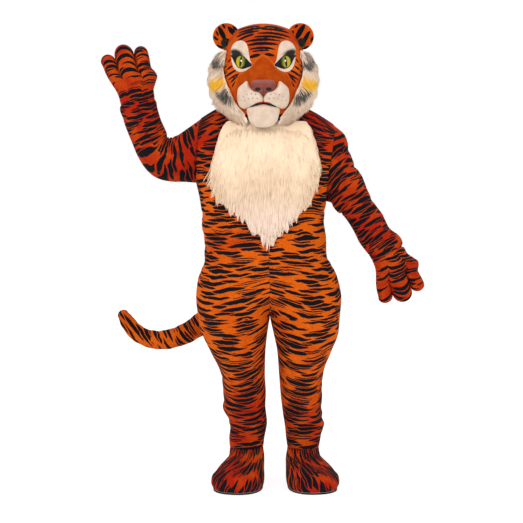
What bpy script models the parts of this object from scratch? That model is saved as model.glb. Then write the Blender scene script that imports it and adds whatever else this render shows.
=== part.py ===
"""A tiger costume as it is worn: suit, sleeves, mitts, foot covers, fur bib, stuffed tail and a hollow head.

Metres, +Z up, the front towards -Y, the wearer's left towards +X. Heights in the tables are above the floor;
the world's origin is between the wearer's shoulders, ORIGIN_HEIGHT above it. Each cloth piece is a closed wall
worked out from sections, and neighbours keep SEAM between them.
"""

import math

import bpy
import numpy as np
from mathutils import Vector
from mathutils.bvhtree import BVHTree

# ------------------------------------------------------------------ driving sizes
ORIGIN_HEIGHT = 1.500  # where the wearer's shoulders carry the costume
PLUSH = 0.003  # short-pile cloth
HEAD_WALL = 0.012  # foam under plush
SEAM = 0.0003  # gap between two sewn pieces
TUCK = 0.0004  # gap between a cuff or hem and what is tucked into it, and under what lies on a piece
MOST_LIFT = 0.010  # a piece laid on another is moved out by less than this
LIFT_STEP = 0.0002
FAR = 0.9  # where a ray towards the costume starts
CUFF_GAP = 0.0006  # gap between a sleeve's end and the mitt's cuff in it
RIGHT, LEFT = -1, 1  # the wearer's sides

HALF_CELLS = 9  # cloth cells across one suit panel
NECK_CELLS = 3  # of those, the ones along the neckline
ARMHOLE_CELLS = 9  # cells up each edge of an armhole

LEG_HEM, CROTCH, FORK_TOP, ARMPIT = 0.140, 0.678, 0.800, 1.160
LEG_ROWS = (0.140, 0.174, 0.208, 0.238, 0.268, 0.300, 0.335, 0.385, 0.440, 0.500, 0.560, 0.618, 0.655)
FORK_ROWS = (0.678, 0.684, 0.700, 0.728, 0.762)
TORSO_ROWS = (0.800, 0.840, 0.880, 0.925, 0.970, 1.018, 1.066, 1.113, 1.160)


def table(names, *rows):
    """A table with named columns; its first column is the one it is read by."""
    columns = np.array(rows, float).T
    return dict(zip(names.split(), columns), key=columns[0])


LEGS = table(
    "height right_outer right_inner left_inner left_outer front back",
    (0.140, -0.152, -0.010, 0.088, 0.222, -0.086, 0.078),
    (0.174, -0.154, -0.006, 0.083, 0.228, -0.086, 0.078),
    (0.215, -0.150, 0.002, 0.079, 0.238, -0.090, 0.084),
    (0.238, -0.155, 0.005, 0.076, 0.247, -0.097, 0.089),
    (0.268, -0.170, 0.002, 0.071, 0.241, -0.090, 0.084),
    (0.306, -0.181, -0.002, 0.066, 0.230, -0.098, 0.093),
    (0.358, -0.179, 0.000, 0.060, 0.235, -0.094, 0.095),
    (0.443, -0.190, -0.004, 0.0535, 0.240, -0.108, 0.094),
    (0.529, -0.230, -0.002, 0.047, 0.271, -0.122, 0.108),
    (0.614, -0.2695, 0.0067, 0.030, 0.303, -0.136, 0.132),
    (0.655, -0.280, 0.013, 0.0205, 0.307, -0.142, 0.144),
    (0.678, -0.284, 0.0167, 0.0167, 0.309, -0.146, 0.150),
    (0.760, -0.292, 0.0167, 0.0167, 0.315, -0.150, 0.166),
    (0.800, -0.289, 0.0160, 0.0160, 0.309, -0.148, 0.168),
)
TORSO = table(
    "height right left middle front back",
    (0.678, -0.284, 0.309, 0.0167, -0.146, 0.150),
    (0.700, -0.288, 0.311, 0.0167, -0.148, 0.156),
    (0.760, -0.292, 0.315, 0.0167, -0.150, 0.166),
    (0.800, -0.289, 0.309, 0.0160, -0.148, 0.168),
    (0.830, -0.285, 0.302, 0.0150, -0.147, 0.166),
    (0.870, -0.277, 0.288, 0.0140, -0.147, 0.158),
    (0.922, -0.260, 0.264, 0.0120, -0.148, 0.145),
    (0.990, -0.257, 0.252, 0.0080, -0.148, 0.132),
    (1.070, -0.2645, 0.247, 0.0020, -0.147, 0.127),
    (1.160, -0.275, 0.2515, -0.0040, -0.147, 0.133),
    (1.240, -0.2925, 0.257, -0.0080, -0.146, 0.142),
)
ROUNDNESS = 2.3  # superellipse power of the torso's section
SIDE_LIFT = {RIGHT: 0.076, LEFT: 0.0}  # how far the raised arm draws the side of the cloth up at the armpit
SIDE_LIFT_FROM = 0.880

NECK = {"middle": -0.010, "centre_y": 0.010, "side": 0.090, "front": 0.082, "back": 0.070}
NECK_HEIGHT = {"front": 1.538, "side": 1.583, "back": 1.572}
SHOULDER_TIP = {RIGHT: (-0.277, 0.0, 1.503), LEFT: (0.288, 0.0, 1.477)}
SHOULDER_CROWN = 0.012  # how far the shoulder line stands above a straight one
# Which way chest and back run, as (outward, up) speeds: above the armpit's level and into the shoulder line.
PANEL_LEAVES = {"centre": (0.02, 0.40), "side": (0.40, 0.26)}
PANEL_ARRIVES = {"centre": (-0.30, 0.16), "side": (-0.38, 0.12)}
SIDE_FROM = 0.60  # the share of a panel's width where its side speeds begin

SLEEVES = {
    RIGHT: table(
        "ring top_x top_z under_x under_z y depth",
        (1, -0.322, 1.467, -0.340, 1.240, -0.004, 0.102),
        (2, -0.366, 1.436, -0.402, 1.242, -0.012, 0.098),
        (3, -0.396, 1.427, -0.456, 1.257, -0.020, 0.089),
        (4, -0.408, 1.429, -0.497, 1.291, -0.030, 0.083),
        (5, -0.411, 1.436, -0.531, 1.344, -0.036, 0.080),
        (6, -0.4125, 1.445, -0.554, 1.400, -0.042, 0.076),
        (7, -0.420, 1.464, -0.5695, 1.438, -0.048, 0.075),
        (8, -0.432, 1.490, -0.582, 1.472, -0.054, 0.077),
        (9, -0.441, 1.518, -0.590, 1.502, -0.060, 0.073),
        (10, -0.449, 1.550, -0.600, 1.528, -0.067, 0.077),
        (11, -0.452, 1.584, -0.603, 1.557, -0.074, 0.074),
    ),
    LEFT: table(
        "ring top_x top_z under_x under_z y depth",
        (1, 0.330, 1.434, 0.272, 1.153, -0.002, 0.104),
        (2, 0.3505, 1.364, 0.279, 1.139, -0.005, 0.103),
        (3, 0.371, 1.310, 0.288, 1.125, -0.010, 0.098),
        (4, 0.402, 1.260, 0.300, 1.113, -0.015, 0.092),
        (5, 0.423, 1.205, 0.3147, 1.105, -0.020, 0.086),
        (6, 0.453, 1.148, 0.334, 1.084, -0.026, 0.080),
        (7, 0.486, 1.102, 0.363, 1.038, -0.032, 0.077),
        (8, 0.510, 1.051, 0.388, 0.987, -0.038, 0.074),
        (9, 0.545, 1.023, 0.412, 0.955, -0.044, 0.076),
        (10, 0.561, 1.002, 0.430, 0.931, -0.048, 0.077),
        (11, 0.568, 0.976, 0.442, 0.909, -0.052, 0.073),
    ),
}

ARMPIT_POINTS = [0, 1, -1]  # of a sleeve's first ring
ARMPIT_WALL = 0.001  # there, where the cloth folds on itself

# A crease or swell of the worn cloth: where round the limb it is centred (degrees from the front, towards the
# side), how long and how wide it is, how far it slopes and how far it stands out (negative for a trough).
FOLDS = table(
    "height side turn reach slope width depth",
    (0.252, RIGHT, 60, 150, 0.05, 0.020, -0.006),
    (0.318, RIGHT, 150, 120, -0.10, 0.022, -0.006),
    (0.400, RIGHT, 30, 110, 0.08, 0.030, 0.005),
    (0.470, RIGHT, -30, 100, -0.12, 0.030, -0.005),
    (0.590, RIGHT, 20, 80, 0.30, 0.032, -0.006),
    (0.640, RIGHT, 215, 90, -0.20, 0.034, -0.007),
    (0.252, LEFT, 100, 150, -0.06, 0.020, -0.007),
    (0.322, LEFT, 40, 120, 0.10, 0.022, 0.006),
    (0.392, LEFT, 170, 110, -0.08, 0.030, -0.006),
    (0.478, LEFT, 20, 100, 0.12, 0.030, -0.005),
    (0.596, LEFT, 30, 80, -0.30, 0.032, -0.006),
    (0.646, LEFT, 200, 90, 0.22, 0.034, -0.007),
    (0.900, RIGHT, 85, 80, 0.10, 0.030, -0.007),
    (0.945, LEFT, 80, 80, -0.12, 0.030, -0.006),
    (0.930, RIGHT, 140, 70, -0.10, 0.034, -0.006),
    (0.985, LEFT, 150, 70, 0.10, 0.034, -0.006),
    (1.050, RIGHT, 95, 70, 0.16, 0.034, 0.005),
    (1.075, LEFT, 100, 70, -0.10, 0.034, -0.006),
)

# The mitt, flat on its back: widths either side of its middle line, and its half thickness.
MITT = table(
    "along far thumb_side depth",
    (0.000, -0.071, 0.071, 0.068),
    (0.030, -0.071, 0.074, 0.065),
    (0.058, -0.075, 0.089, 0.063),
    (0.085, -0.084, 0.103, 0.062),
    (0.108, -0.092, 0.096, 0.060),
    (0.122, -0.096, 0.087, 0.058),
    (0.145, -0.101, 0.088, 0.055),
    (0.170, -0.104, 0.090, 0.051),
    (0.190, -0.108, 0.090, 0.047),
    (0.240, -0.109, 0.090, 0.040),
)
FINGERS = table(
    "number centre half_width base rise",
    (1, -0.0785, 0.0305, 0.184, 0.031),
    (2, -0.0080, 0.0400, 0.194, 0.046),
    (3, 0.0610, 0.0290, 0.186, 0.031),
)
FINGER_COLUMNS = (-1.0, -0.6, 0.0, 0.6)  # across each finger, in half widths
MITT_SHARES = (0.15, 0.28, 0.39, 0.48, 0.58, 0.74, 0.89, 0.97, 1.0)
TIP_WALL = 0.4  # of PLUSH, where the fingers end in a fine edge
GROOVES = [4, 8]  # the columns between two fingers
FINGER_GROOVE = 0.30  # how much the mitt thins between two fingers
# Which way each mitt points, how far its fingertips curl forward and how much shorter that leaves it.
MITTS = {
    RIGHT: {"along": (-0.232, -0.060, 0.973), "across": (0.973, 0.0, 0.232), "curl": 0.030, "length": 1.0},
    LEFT: {"along": (0.345, -0.240, -0.907), "across": (0.935, 0.0, 0.355), "curl": 0.045, "length": 0.90},
}

FOOT = table(
    "height toe heel ball_half heel_half",
    (0.0143, 0.272, 0.088, 0.113, 0.064),
    (0.030, 0.284, 0.094, 0.122, 0.070),
    (0.052, 0.282, 0.096, 0.120, 0.073),
    (0.074, 0.258, 0.095, 0.107, 0.074),
    (0.096, 0.204, 0.093, 0.089, 0.075),
    (0.116, 0.148, 0.091, 0.081, 0.075),
    (0.130, 0.112, 0.088, 0.077, 0.075),
)
FOOT_PLACE = {RIGHT: (-0.075, -0.002), LEFT: (0.150, 0.002)}
TOE_OUT = math.radians(13)
FOOT_BLUNTNESS = 0.85  # power of its outline; 1 would be an oval
FOOT_COLUMNS = 20
SOLE = {"thickness": 0.014, "proud": 0.003, "columns": 36}

TAIL_PATH = table(
    "point x y height radius",
    (0, 0.012, 0.168, 0.800, 0.050),
    (1, -0.030, 0.222, 0.790, 0.049),
    (2, -0.105, 0.246, 0.755, 0.049),
    (3, -0.185, 0.240, 0.703, 0.048),
    (4, -0.250, 0.224, 0.652, 0.047),
    (5, -0.300, 0.208, 0.612, 0.046),
    (6, -0.350, 0.196, 0.583, 0.044),
    (7, -0.405, 0.186, 0.564, 0.042),
    (8, -0.461, 0.178, 0.557, 0.040),
    (9, -0.515, 0.172, 0.567, 0.037),
    (10, -0.560, 0.168, 0.592, 0.035),
    (11, -0.594, 0.164, 0.632, 0.032),
    (12, -0.616, 0.162, 0.668, 0.024),
)
TAIL_COLUMNS = 12
TAIL_TIP = 0.6  # how far the tip rounds out, in radii

ZIP = {"half_width": 0.014, "tape": 0.0018, "gap": 0.0009}  # its tape lies this far off the cloth

BIB = table(
    "height right left thickness",
    (0.963, 0.000, 0.018, 0.013),
    (1.004, -0.022, 0.046, 0.018),
    (1.040, -0.087, 0.080, 0.022),
    (1.070, -0.128, 0.103, 0.025),
    (1.110, -0.168, 0.150, 0.028),
    (1.186, -0.216, 0.198, 0.032),
    (1.260, -0.226, 0.222, 0.034),
    (1.327, -0.216, 0.218, 0.033),
    (1.400, -0.200, 0.200, 0.028),
    (1.450, -0.188, 0.186, 0.020),
    (1.492, -0.165, 0.170, 0.013),
)
BIB_POINT_TOP = 1.120  # its pointed end is below this
BIB_ROWS = {"point": 5, "body": 9}
BIB_EDGE = 0.004  # its thickness at the sides
LOCKS = 12  # fur locks across the bib
LOCK_DEPTH = 0.006
TUFT = {"end": 0.006, "side": 0.008}  # how far the tufts of its edge hang past the cloth

HEAD_X = -0.011
HEAD = table(
    "height half_width front back",
    (1.480, 0.122, -0.138, 0.100),
    (1.520, 0.140, -0.150, 0.115),
    (1.560, 0.160, -0.165, 0.135),
    (1.620, 0.184, -0.178, 0.168),
    (1.680, 0.192, -0.184, 0.186),
    (1.740, 0.184, -0.184, 0.190),
    (1.790, 0.165, -0.170, 0.178),
    (1.830, 0.143, -0.148, 0.156),
    (1.860, 0.117, -0.122, 0.128),
    (1.880, 0.088, -0.093, 0.097),
    (1.892, 0.060, -0.061, 0.064),
    (1.898, 0.030, -0.030, 0.032),
)
CROWN = 1.900
SNOUT = table(
    "height out half_width",
    (1.470, 0.042, 0.070),
    (1.520, 0.050, 0.078),
    (1.560, 0.061, 0.090),
    (1.610, 0.070, 0.098),
    (1.645, 0.068, 0.092),
    (1.670, 0.050, 0.078),
    (1.700, 0.025, 0.060),
    (1.740, 0.009, 0.048),
    (1.780, 0.000, 0.045),
)
HEAD_RIM = {"front": 1.505, "side": 1.540, "back": 1.535}
HEAD_BLUNTNESS = 2.2  # superellipse power of its sections
HEAD_ROWS = (0.0, 0.09, 0.18, 0.27, 0.36, 0.45, 0.54, 0.63, 0.71, 0.785, 0.85, 0.90, 0.94, 0.97, 1.0)
HEAD_ANGLES = (0, 8, 16, 24, 32, 41, 51, 63, 78, 95, 114, 135, 157, 180)  # degrees from the front to the back


# Cheek fur: where it starts and ends round the head (degrees from the front) and how far it stands out.
RUFF = table(
    "height front_turn back_turn thickness",
    (1.494, 29, 108, 0.014),
    (1.530, 33, 118, 0.030),
    (1.560, 38, 122, 0.036),
    (1.600, 40, 125, 0.039),
    (1.645, 47, 126, 0.040),
    (1.690, 52, 124, 0.038),
    (1.730, 52, 120, 0.033),
    (1.760, 54, 114, 0.024),
    (1.780, 54, 106, 0.014),
)
RUFF_CELLS = {"up": 10, "round": 7}
RUFF_EDGE = 0.003
RUFF_COMB = 0.005  # depth of the partings in it
RUFF_CLEAR = 0.006  # how high its lower edge hangs over the shoulder
RUFF_PASSES = 12  # tries at finding the height where it does

EAR = {"across": 0.153, "y": -0.040, "height": 1.841, "radius": 0.056, "cup": 0.014}
EAR_FACES = {"front": -0.011, "back": 0.013}  # where its two faces are, to either side of its middle
EAR_RIM = (math.radians(-66), math.radians(146))  # the free edge, turning from the outer side over the top
EAR_SEAM = (math.radians(-50), math.radians(128))
EAR_CELLS = {"up": 5, "round": 10}


# ------------------------------------------------------------------ curves and sections
def smooth(knots, values, x):
    """A monotone cubic through the knots, so a section never swells past its table."""
    x = np.clip(np.asarray(x, float), knots[0], knots[-1])
    step = np.diff(knots)
    rise = np.diff(values) / step
    slope = np.zeros(len(knots))
    both = rise[:-1] * rise[1:]
    total = rise[:-1] + rise[1:]
    slope[1:-1] = np.where(both > 0, 2 * both / np.where(both > 0, total, 1.0), 0.0)
    slope[0], slope[-1] = rise[0], rise[-1]
    at = np.clip(np.searchsorted(knots, x) - 1, 0, len(step) - 1)
    t = (x - knots[at]) / step[at]
    return (
        values[at] * (1 + 2 * t) * (1 - t) ** 2
        + slope[at] * step[at] * t * (1 - t) ** 2
        + values[at + 1] * t**2 * (3 - 2 * t)
        + slope[at + 1] * step[at] * t**2 * (t - 1)
    )


def read(source, column, x):
    return smooth(source["key"], source[column], x)


def even_points(curve, cells):
    """The curve cut into cells of equal length."""
    length = np.concatenate([[0], np.cumsum(np.linalg.norm(np.diff(curve, axis=0), axis=1))])
    places = np.linspace(0, length[-1], cells + 1)
    return np.stack([np.interp(places, length, curve[:, axis]) for axis in range(3)], axis=1)


def unit(vectors):
    return vectors / np.maximum(np.linalg.norm(vectors, axis=-1, keepdims=True), 1e-12)


def ease(x):
    x = np.clip(x, 0, 1)
    return x * x * (3 - 2 * x)


def hermite(start, end, leave, arrive, v):
    v = np.asarray(v, float)[:, None, None]
    return (
        start * (1 + 2 * v) * (1 - v) ** 2
        + leave * v * (1 - v) ** 2
        + end * v**2 * (3 - 2 * v)
        + arrive * v**2 * (v - 1)
    )


def side_name(side):
    return "right" if side == RIGHT else "left"


# ------------------------------------------------------------------ walls and meshes
def halved(cells):
    """Four-sided cells as triangles, all cut the same way, so pieces laid on each other fold alike."""
    return [corners for a, b, c, d in cells for corners in ((a, b, c), (a, c, d))]


def grid_faces(rows, columns, wrap=False):
    """The triangles of a grid, with wrap where its last column meets its first."""
    cells = []
    for i in range(rows - 1):
        for j in range(columns if wrap else columns - 1):
            a, b = i * columns + j, i * columns + (j + 1) % columns
            cells.append((a, b, b + columns, a + columns))
    if not wrap:  # the corner cell that would leave a triangle with all its points on the edge
        corner = (rows - 2) * (columns - 1)
        cells[corner] = cells[corner][1:] + cells[corner][:1]
    return halved(cells)


def rim_loops(rows, columns, wrap=False):
    """The open edges of a grid, each as a closed run of points in the faces' own direction."""
    if wrap:
        return [list(range(columns)), [(rows - 1) * columns + j for j in reversed(range(columns))]]
    bottom = list(range(columns))
    far = [i * columns + columns - 1 for i in range(1, rows)]
    top = [(rows - 1) * columns + j for j in reversed(range(columns - 1))]
    near = [i * columns for i in reversed(range(1, rows - 1))]
    return [bottom + far + top + near]


def sewn_normals(grids):
    """Outward normals of several grids, shared where their points meet. A grid is (points, wrap, flip)."""
    points, faces, start = [], [], 0
    for grid, wrap, flip in grids:
        cells = np.array(grid_faces(*grid.shape[:2], wrap))
        faces.append(start + (cells[:, ::-1] if flip else cells))
        points.append(grid.reshape(-1, 3))
        start += len(points[-1])
    points, faces = np.concatenate(points), np.concatenate(faces)
    _, shared = np.unique(np.round(points, 6), axis=0, return_inverse=True)
    shared = shared.reshape(-1)
    a, b, c = (points[faces[:, k]] for k in range(3))
    normal = np.cross(b - a, c - a)
    total = np.zeros((shared.max() + 1, 3))
    for k in range(3):
        np.add.at(total, shared[faces[:, k]], normal)
    normals, found, start = unit(total)[shared], [], 0
    for grid, _, _ in grids:
        count = grid.shape[0] * grid.shape[1]
        found.append(normals[start : start + count].reshape(grid.shape))
        start += count
    return found


def draw_in(outer, inner, amount, edges):
    """Moves these edges of a wall back from its neighbours."""
    shift = np.zeros_like(outer)
    if "near" in edges:
        shift[:, 0] += unit(outer[:, 1] - outer[:, 0])
    if "far" in edges:
        shift[:, -1] += unit(outer[:, -2] - outer[:, -1])
    if "start" in edges:
        shift[0] += unit(outer[1] - outer[0])
    if "end" in edges:
        shift[-1] += unit(outer[-2] - outer[-1])
    return outer + amount * shift, inner + amount * shift


def new_object(name, points, faces, material, smooth_angle=40):
    """A mesh object. Points are given with heights above the floor."""
    mesh = bpy.data.meshes.new(name)
    mesh.from_pydata([(x, y, z - ORIGIN_HEIGHT) for x, y, z in np.asarray(points).tolist()], [], faces)
    mesh.materials.append(material)
    mesh.shade_smooth()
    mesh.set_sharp_from_angle(angle=math.radians(smooth_angle))
    made = bpy.data.objects.new(name, mesh)
    costume.objects.link(made)
    return made


def wall_faces(rows, columns, wrap, flip):
    """Faces of a closed wall whose points are the outer grid and then the inner one."""
    count = rows * columns
    outside = grid_faces(rows, columns, wrap)
    faces = outside + [tuple(count + k for k in reversed(face)) for face in outside]
    for loop in rim_loops(rows, columns, wrap):
        faces += halved([(b, a, count + a, count + b) for a, b in zip(loop, loop[1:] + loop[:1])])
    return [tuple(reversed(face)) for face in faces] if flip else faces


def make_wall(name, outer, inner, material, wrap=False, flip=False):
    points = np.concatenate([outer.reshape(-1, 3), inner.reshape(-1, 3)])
    return new_object(name, points, wall_faces(*outer.shape[:2], wrap, flip), material)


def tree_of(grids):
    """A search tree of the outsides of these grids, as (points, wrap, flip)."""
    points, faces = [], []
    for grid, wrap, flip in grids:
        start = len(points)
        points += [Vector(p) for p in grid.reshape(-1, 3)]
        for corners in grid_faces(*grid.shape[:2], wrap):
            faces.append(tuple(start + k for k in (reversed(corners) if flip else corners)))
    return BVHTree.FromPolygons(points, faces, all_triangles=True)


def cast(trees, origin, direction):
    """(point, outward normal) where a ray first meets a tree, or the nearest of several, or None."""
    trees = trees if isinstance(trees, tuple) else (trees,)
    hits = [tree.ray_cast(Vector(origin), Vector(direction).normalized()) for tree in trees]
    hits = sorted((hit for hit in hits if hit[0] is not None), key=lambda hit: hit[3])
    return (np.array(hits[0][0]), np.array(hits[0][1])) if hits else None


def meet_loop(loop, centre, spoke):
    """Where a spoke from the centre crosses a closed loop of points lying about in one plane with it."""
    normal = unit(sum(np.cross(a - centre, b - centre) for a, b in zip(loop, np.roll(loop, -1, axis=0))))
    beside = unit(np.cross(normal, spoke))
    height, reach = (loop - centre) @ beside, (loop - centre) @ spoke
    for a in range(len(loop)):
        b = (a + 1) % len(loop)
        if (height[a] <= 0) == (height[b] <= 0):
            continue
        part = height[a] / (height[a] - height[b])
        if reach[a] + part * (reach[b] - reach[a]) > 0:
            return loop[a] + part * (loop[b] - loop[a])
    return None


def lift_clear(trees, points, normals, faces, gap, passes=60):
    """Moves points out along their normals until their faces clear the trees by the gap."""
    points = points.copy()
    trees = trees if isinstance(trees, tuple) else (trees,)
    for _ in range(passes):
        short = np.zeros(len(points))
        lowered = BVHTree.FromPolygons((points - gap * normals).tolist(), faces, all_triangles=True)
        for tree in trees:
            for k in {k for index, _ in lowered.overlap(tree) for k in faces[index]}:
                short[k] = LIFT_STEP
            for k, point in enumerate(points):
                near, normal, _, distance = tree.find_nearest(Vector(point))
                clear = float(np.dot(point - np.array(near), np.array(normal)))
                if distance < MOST_LIFT:
                    short[k] = max(short[k], gap - clear)
        if short.max() < 1e-6:
            break
        points += normals * short[:, None]
    return points


# ------------------------------------------------------------------ the suit
def torso_curve(side, height):
    """A row from centre front round the side to centre back, its side drawn up by SIDE_LIFT."""
    turn = np.linspace(0, math.pi, 181)
    lift = SIDE_LIFT[side] * ease((height - SIDE_LIFT_FROM) / (ARMPIT - SIDE_LIFT_FROM))
    z = height + lift * np.sin(turn) ** 2
    middle = read(TORSO, "middle", z)
    reach = np.abs(read(TORSO, side_name(side), z) - middle)
    depth = np.where(turn < math.pi / 2, read(TORSO, "front", z), read(TORSO, "back", z))
    power = 2 / ROUNDNESS
    x = middle + side * reach * np.abs(np.sin(turn)) ** power
    return np.stack([x, depth * np.abs(np.cos(turn)) ** power, z], axis=1)


def leg_curve(side, height):
    """A row from the inseam round the front and the outer side back to the inseam."""
    turn = np.linspace(0, 2 * math.pi, 361)
    inner = read(LEGS, f"{side_name(side)}_inner", height)
    outer = read(LEGS, f"{side_name(side)}_outer", height)
    depth = np.where(turn < math.pi, read(LEGS, "front", height), -read(LEGS, "back", height))
    x = (inner + outer) / 2 - (outer - inner) / 2 * np.cos(turn)
    return np.stack([x, depth * np.sin(turn), np.full(len(turn), height)], axis=1)


def halves(curve):
    """One point for each column, with the side seam at the middle of the curve."""
    middle = len(curve) // 2
    front = even_points(curve[: middle + 1], HALF_CELLS)
    return np.concatenate([front, even_points(curve[middle:], HALF_CELLS)[1:]])


def suit_row(side, height):
    """A row below the armhole: a leg, the torso, or between them the fork, which turns fast at the inseam."""
    share = np.clip((height - CROTCH) / (FORK_TOP - CROTCH), 0, 1)
    torso_share = math.sqrt(1 - (1 - share) ** 2)
    leg = halves(leg_curve(side, height))
    if torso_share == 0:
        return leg
    inward = np.abs(np.linspace(-1, 1, 2 * HALF_CELLS + 1))[:, None] ** 3
    weight = ease(share) * (1 - inward) + torso_share * inward
    return (1 - weight) * leg + weight * halves(torso_curve(side, height))


def fold_height(side, grid):
    """How far each fold moves each point of a grid outwards."""
    middle = read(TORSO, "middle", grid[..., 2])
    leg_middle = (
        read(LEGS, f"{side_name(side)}_inner", grid[..., 2])
        + read(LEGS, f"{side_name(side)}_outer", grid[..., 2])
    ) / 2
    middle = np.where(grid[..., 2] < CROTCH, leg_middle, middle)
    turn = np.degrees(np.arctan2(side * (grid[..., 0] - middle), -grid[..., 1]))
    total = np.zeros(grid.shape[:2])
    for k in range(len(FOLDS["key"])):
        fold = {name: column[k] for name, column in FOLDS.items()}
        if fold["side"] != side:
            continue
        round_by = (turn - fold["turn"] + 180) % 360 - 180
        along = round_by / (fold["reach"] / 2)
        line = fold["height"] + fold["slope"] * np.radians(round_by) * 0.1
        across = (grid[..., 2] - line) / fold["width"]
        total += fold["depth"] * np.exp(-(across**2)) * ease(1.3 - 1.3 * np.abs(along))
    return total


def suit_top(side):
    """The neckline and shoulder line, from centre front and from centre back to the shoulder's tip."""
    bend = np.linspace(0, math.pi / 2, NECK_CELLS + 1)
    along = np.linspace(0, 1, HALF_CELLS - NECK_CELLS + 1)[1:, None]
    tops = {}
    for face, direction in (("front", -1), ("back", 1)):
        x = NECK["middle"] + side * NECK["side"] * np.sin(bend)
        y = NECK["centre_y"] + direction * NECK[face] * np.cos(bend)
        z = NECK_HEIGHT[face] + (NECK_HEIGHT["side"] - NECK_HEIGHT[face]) * np.sin(bend) ** 2
        neckline = np.stack([x, y, z], axis=1)
        shoulder = neckline[-1] + (np.array(SHOULDER_TIP[side]) - neckline[-1]) * along
        shoulder[:, 2] += SHOULDER_CROWN * np.sin(math.pi * along[:, 0])
        tops[face] = np.concatenate([neckline, shoulder])
    return tops


def suit_half(side):
    """The outer grids of one side's front and back panels, from the leg hem to the shoulder."""
    lower = np.array([suit_row(side, h) for h in LEG_ROWS + FORK_ROWS + TORSO_ROWS])
    out = sewn_normals([(lower, False, side == RIGHT)])[0]
    out[:, [0, -1]] = 0
    lower = lower + out * fold_height(side, lower)[..., None]
    tops, steps = suit_top(side), np.linspace(0, 1, ARMHOLE_CELLS + 1)[1:]
    edge = ease((np.linspace(0, 1, HALF_CELLS + 1) - SIDE_FROM) / (1 - SIDE_FROM))[:, None]
    panels = {}
    for face, direction in (("front", -1), ("back", 1)):
        if face == "front":
            below, top, weight = lower[:, : HALF_CELLS + 1], tops[face], edge
        else:
            below, top, weight = lower[:, HALF_CELLS:], tops[face][::-1], edge[::-1]
        leave, arrive = (
            (1 - weight) * np.array((0, centre[0] * direction, centre[1]))
            + weight * np.array((0, edge_speed[0] * direction, edge_speed[1]))
            for centre, edge_speed in (PANEL_LEAVES.values(), PANEL_ARRIVES.values())
        )
        upper = hermite(below[-1], top, leave, arrive, steps)
        panels[face] = np.concatenate([below, upper])
    return panels


def armhole(front, back):
    """The armhole's points: from the armpit up the front edge to the shoulder's tip and down the back edge."""
    return np.concatenate([front[-ARMHOLE_CELLS - 1 :, -1], back[-2 : -ARMHOLE_CELLS - 1 : -1, 0]])


def sleeve_grid(side, first_ring):
    rings, source = [first_ring], SLEEVES[side]
    turn = 2 * math.pi * np.arange(2 * ARMHOLE_CELLS) / (2 * ARMHOLE_CELLS)
    for k in range(len(source["key"])):
        top = np.array((source["top_x"][k], source["y"][k], source["top_z"][k]))
        under = np.array((source["under_x"][k], source["y"][k], source["under_z"][k]))
        across = np.array((0.0, -source["depth"][k], 0.0))
        up = (top - under) / 2
        rings.append((top + under) / 2 - np.outer(np.cos(turn), up) + np.outer(np.sin(turn), across))
    return np.array(rings)


def build_suit():
    """The four panels and two sleeves. Returns their walls, and their outsides before SEAM parts them."""
    grids = {}
    for side in (RIGHT, LEFT):
        panels = suit_half(side)
        grids[side, "front"] = (panels["front"], False, side == RIGHT)
        grids[side, "back"] = (panels["back"], False, side == RIGHT)
        ring = armhole(panels["front"], panels["back"])
        grids[side, "sleeve"] = (sleeve_grid(side, ring), True, side == LEFT)
    normals = dict(zip(grids, sewn_normals(list(grids.values()))))
    walls = {}
    for (side, face), (outer, wrap, flip) in grids.items():
        inner = outer - PLUSH * normals[side, face]
        if face == "sleeve":
            pit = outer[0, ARMPIT_POINTS]
            inner[0, ARMPIT_POINTS] = pit + ARMPIT_WALL * unit(outer[1].mean(axis=0) - pit)
        edges = ("start",) if face == "sleeve" else ("near", "far", "end")
        outer, inner = draw_in(outer, inner, SEAM / 2, edges)
        walls[side, face] = (outer, inner, wrap, flip)
        name = f"sleeve_{side_name(side)}" if face == "sleeve" else f"suit_{face}_{side_name(side)}"
        make_wall(name, outer, inner, PLUSH_ORANGE, wrap, flip)
    return walls, grids


def build_zip(walls):
    """The closure behind the centre-back seam: a tape lying on the inside of both back panels."""
    left, right = walls[LEFT, "back"], walls[RIGHT, "back"]
    first = len(LEG_ROWS) + len(FORK_ROWS) + 1
    rows = []
    for i in range(first, left[0].shape[0]):
        row = []
        for wall in (right, left):
            seam, beside = wall[1][i, -1], wall[1][i, -2]
            step = unit(beside - seam)
            row.append((seam, seam + step * ZIP["half_width"]))
        middle = (row[0][0] + row[1][0]) / 2
        rows.append([row[0][1], middle, row[1][1]])
    grid = np.array(rows)
    out = sewn_normals([(grid, False, False)])[0]
    out *= np.sign(out[..., 1:2].mean())
    outer = grid - out * ZIP["gap"]
    make_wall("zip_tape", outer, outer - out * ZIP["tape"], ZIP_TAPE, flip=True)


# ------------------------------------------------------------------ mitts
def mitt_columns():
    """Places across the fingertips, and how far along the mitt each reaches."""
    across, along = [], []
    for k in range(len(FINGERS["key"])):
        centre, half = FINGERS["centre"][k], FINGERS["half_width"][k]
        for local in FINGER_COLUMNS:
            across.append(centre + local * half)
            along.append(FINGERS["base"][k] + FINGERS["rise"][k] * math.sqrt(1 - local**2))
    across.append(FINGERS["centre"][-1] + FINGERS["half_width"][-1])
    along.append(FINGERS["base"][-1])
    return np.array(across), np.array(along)


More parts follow.
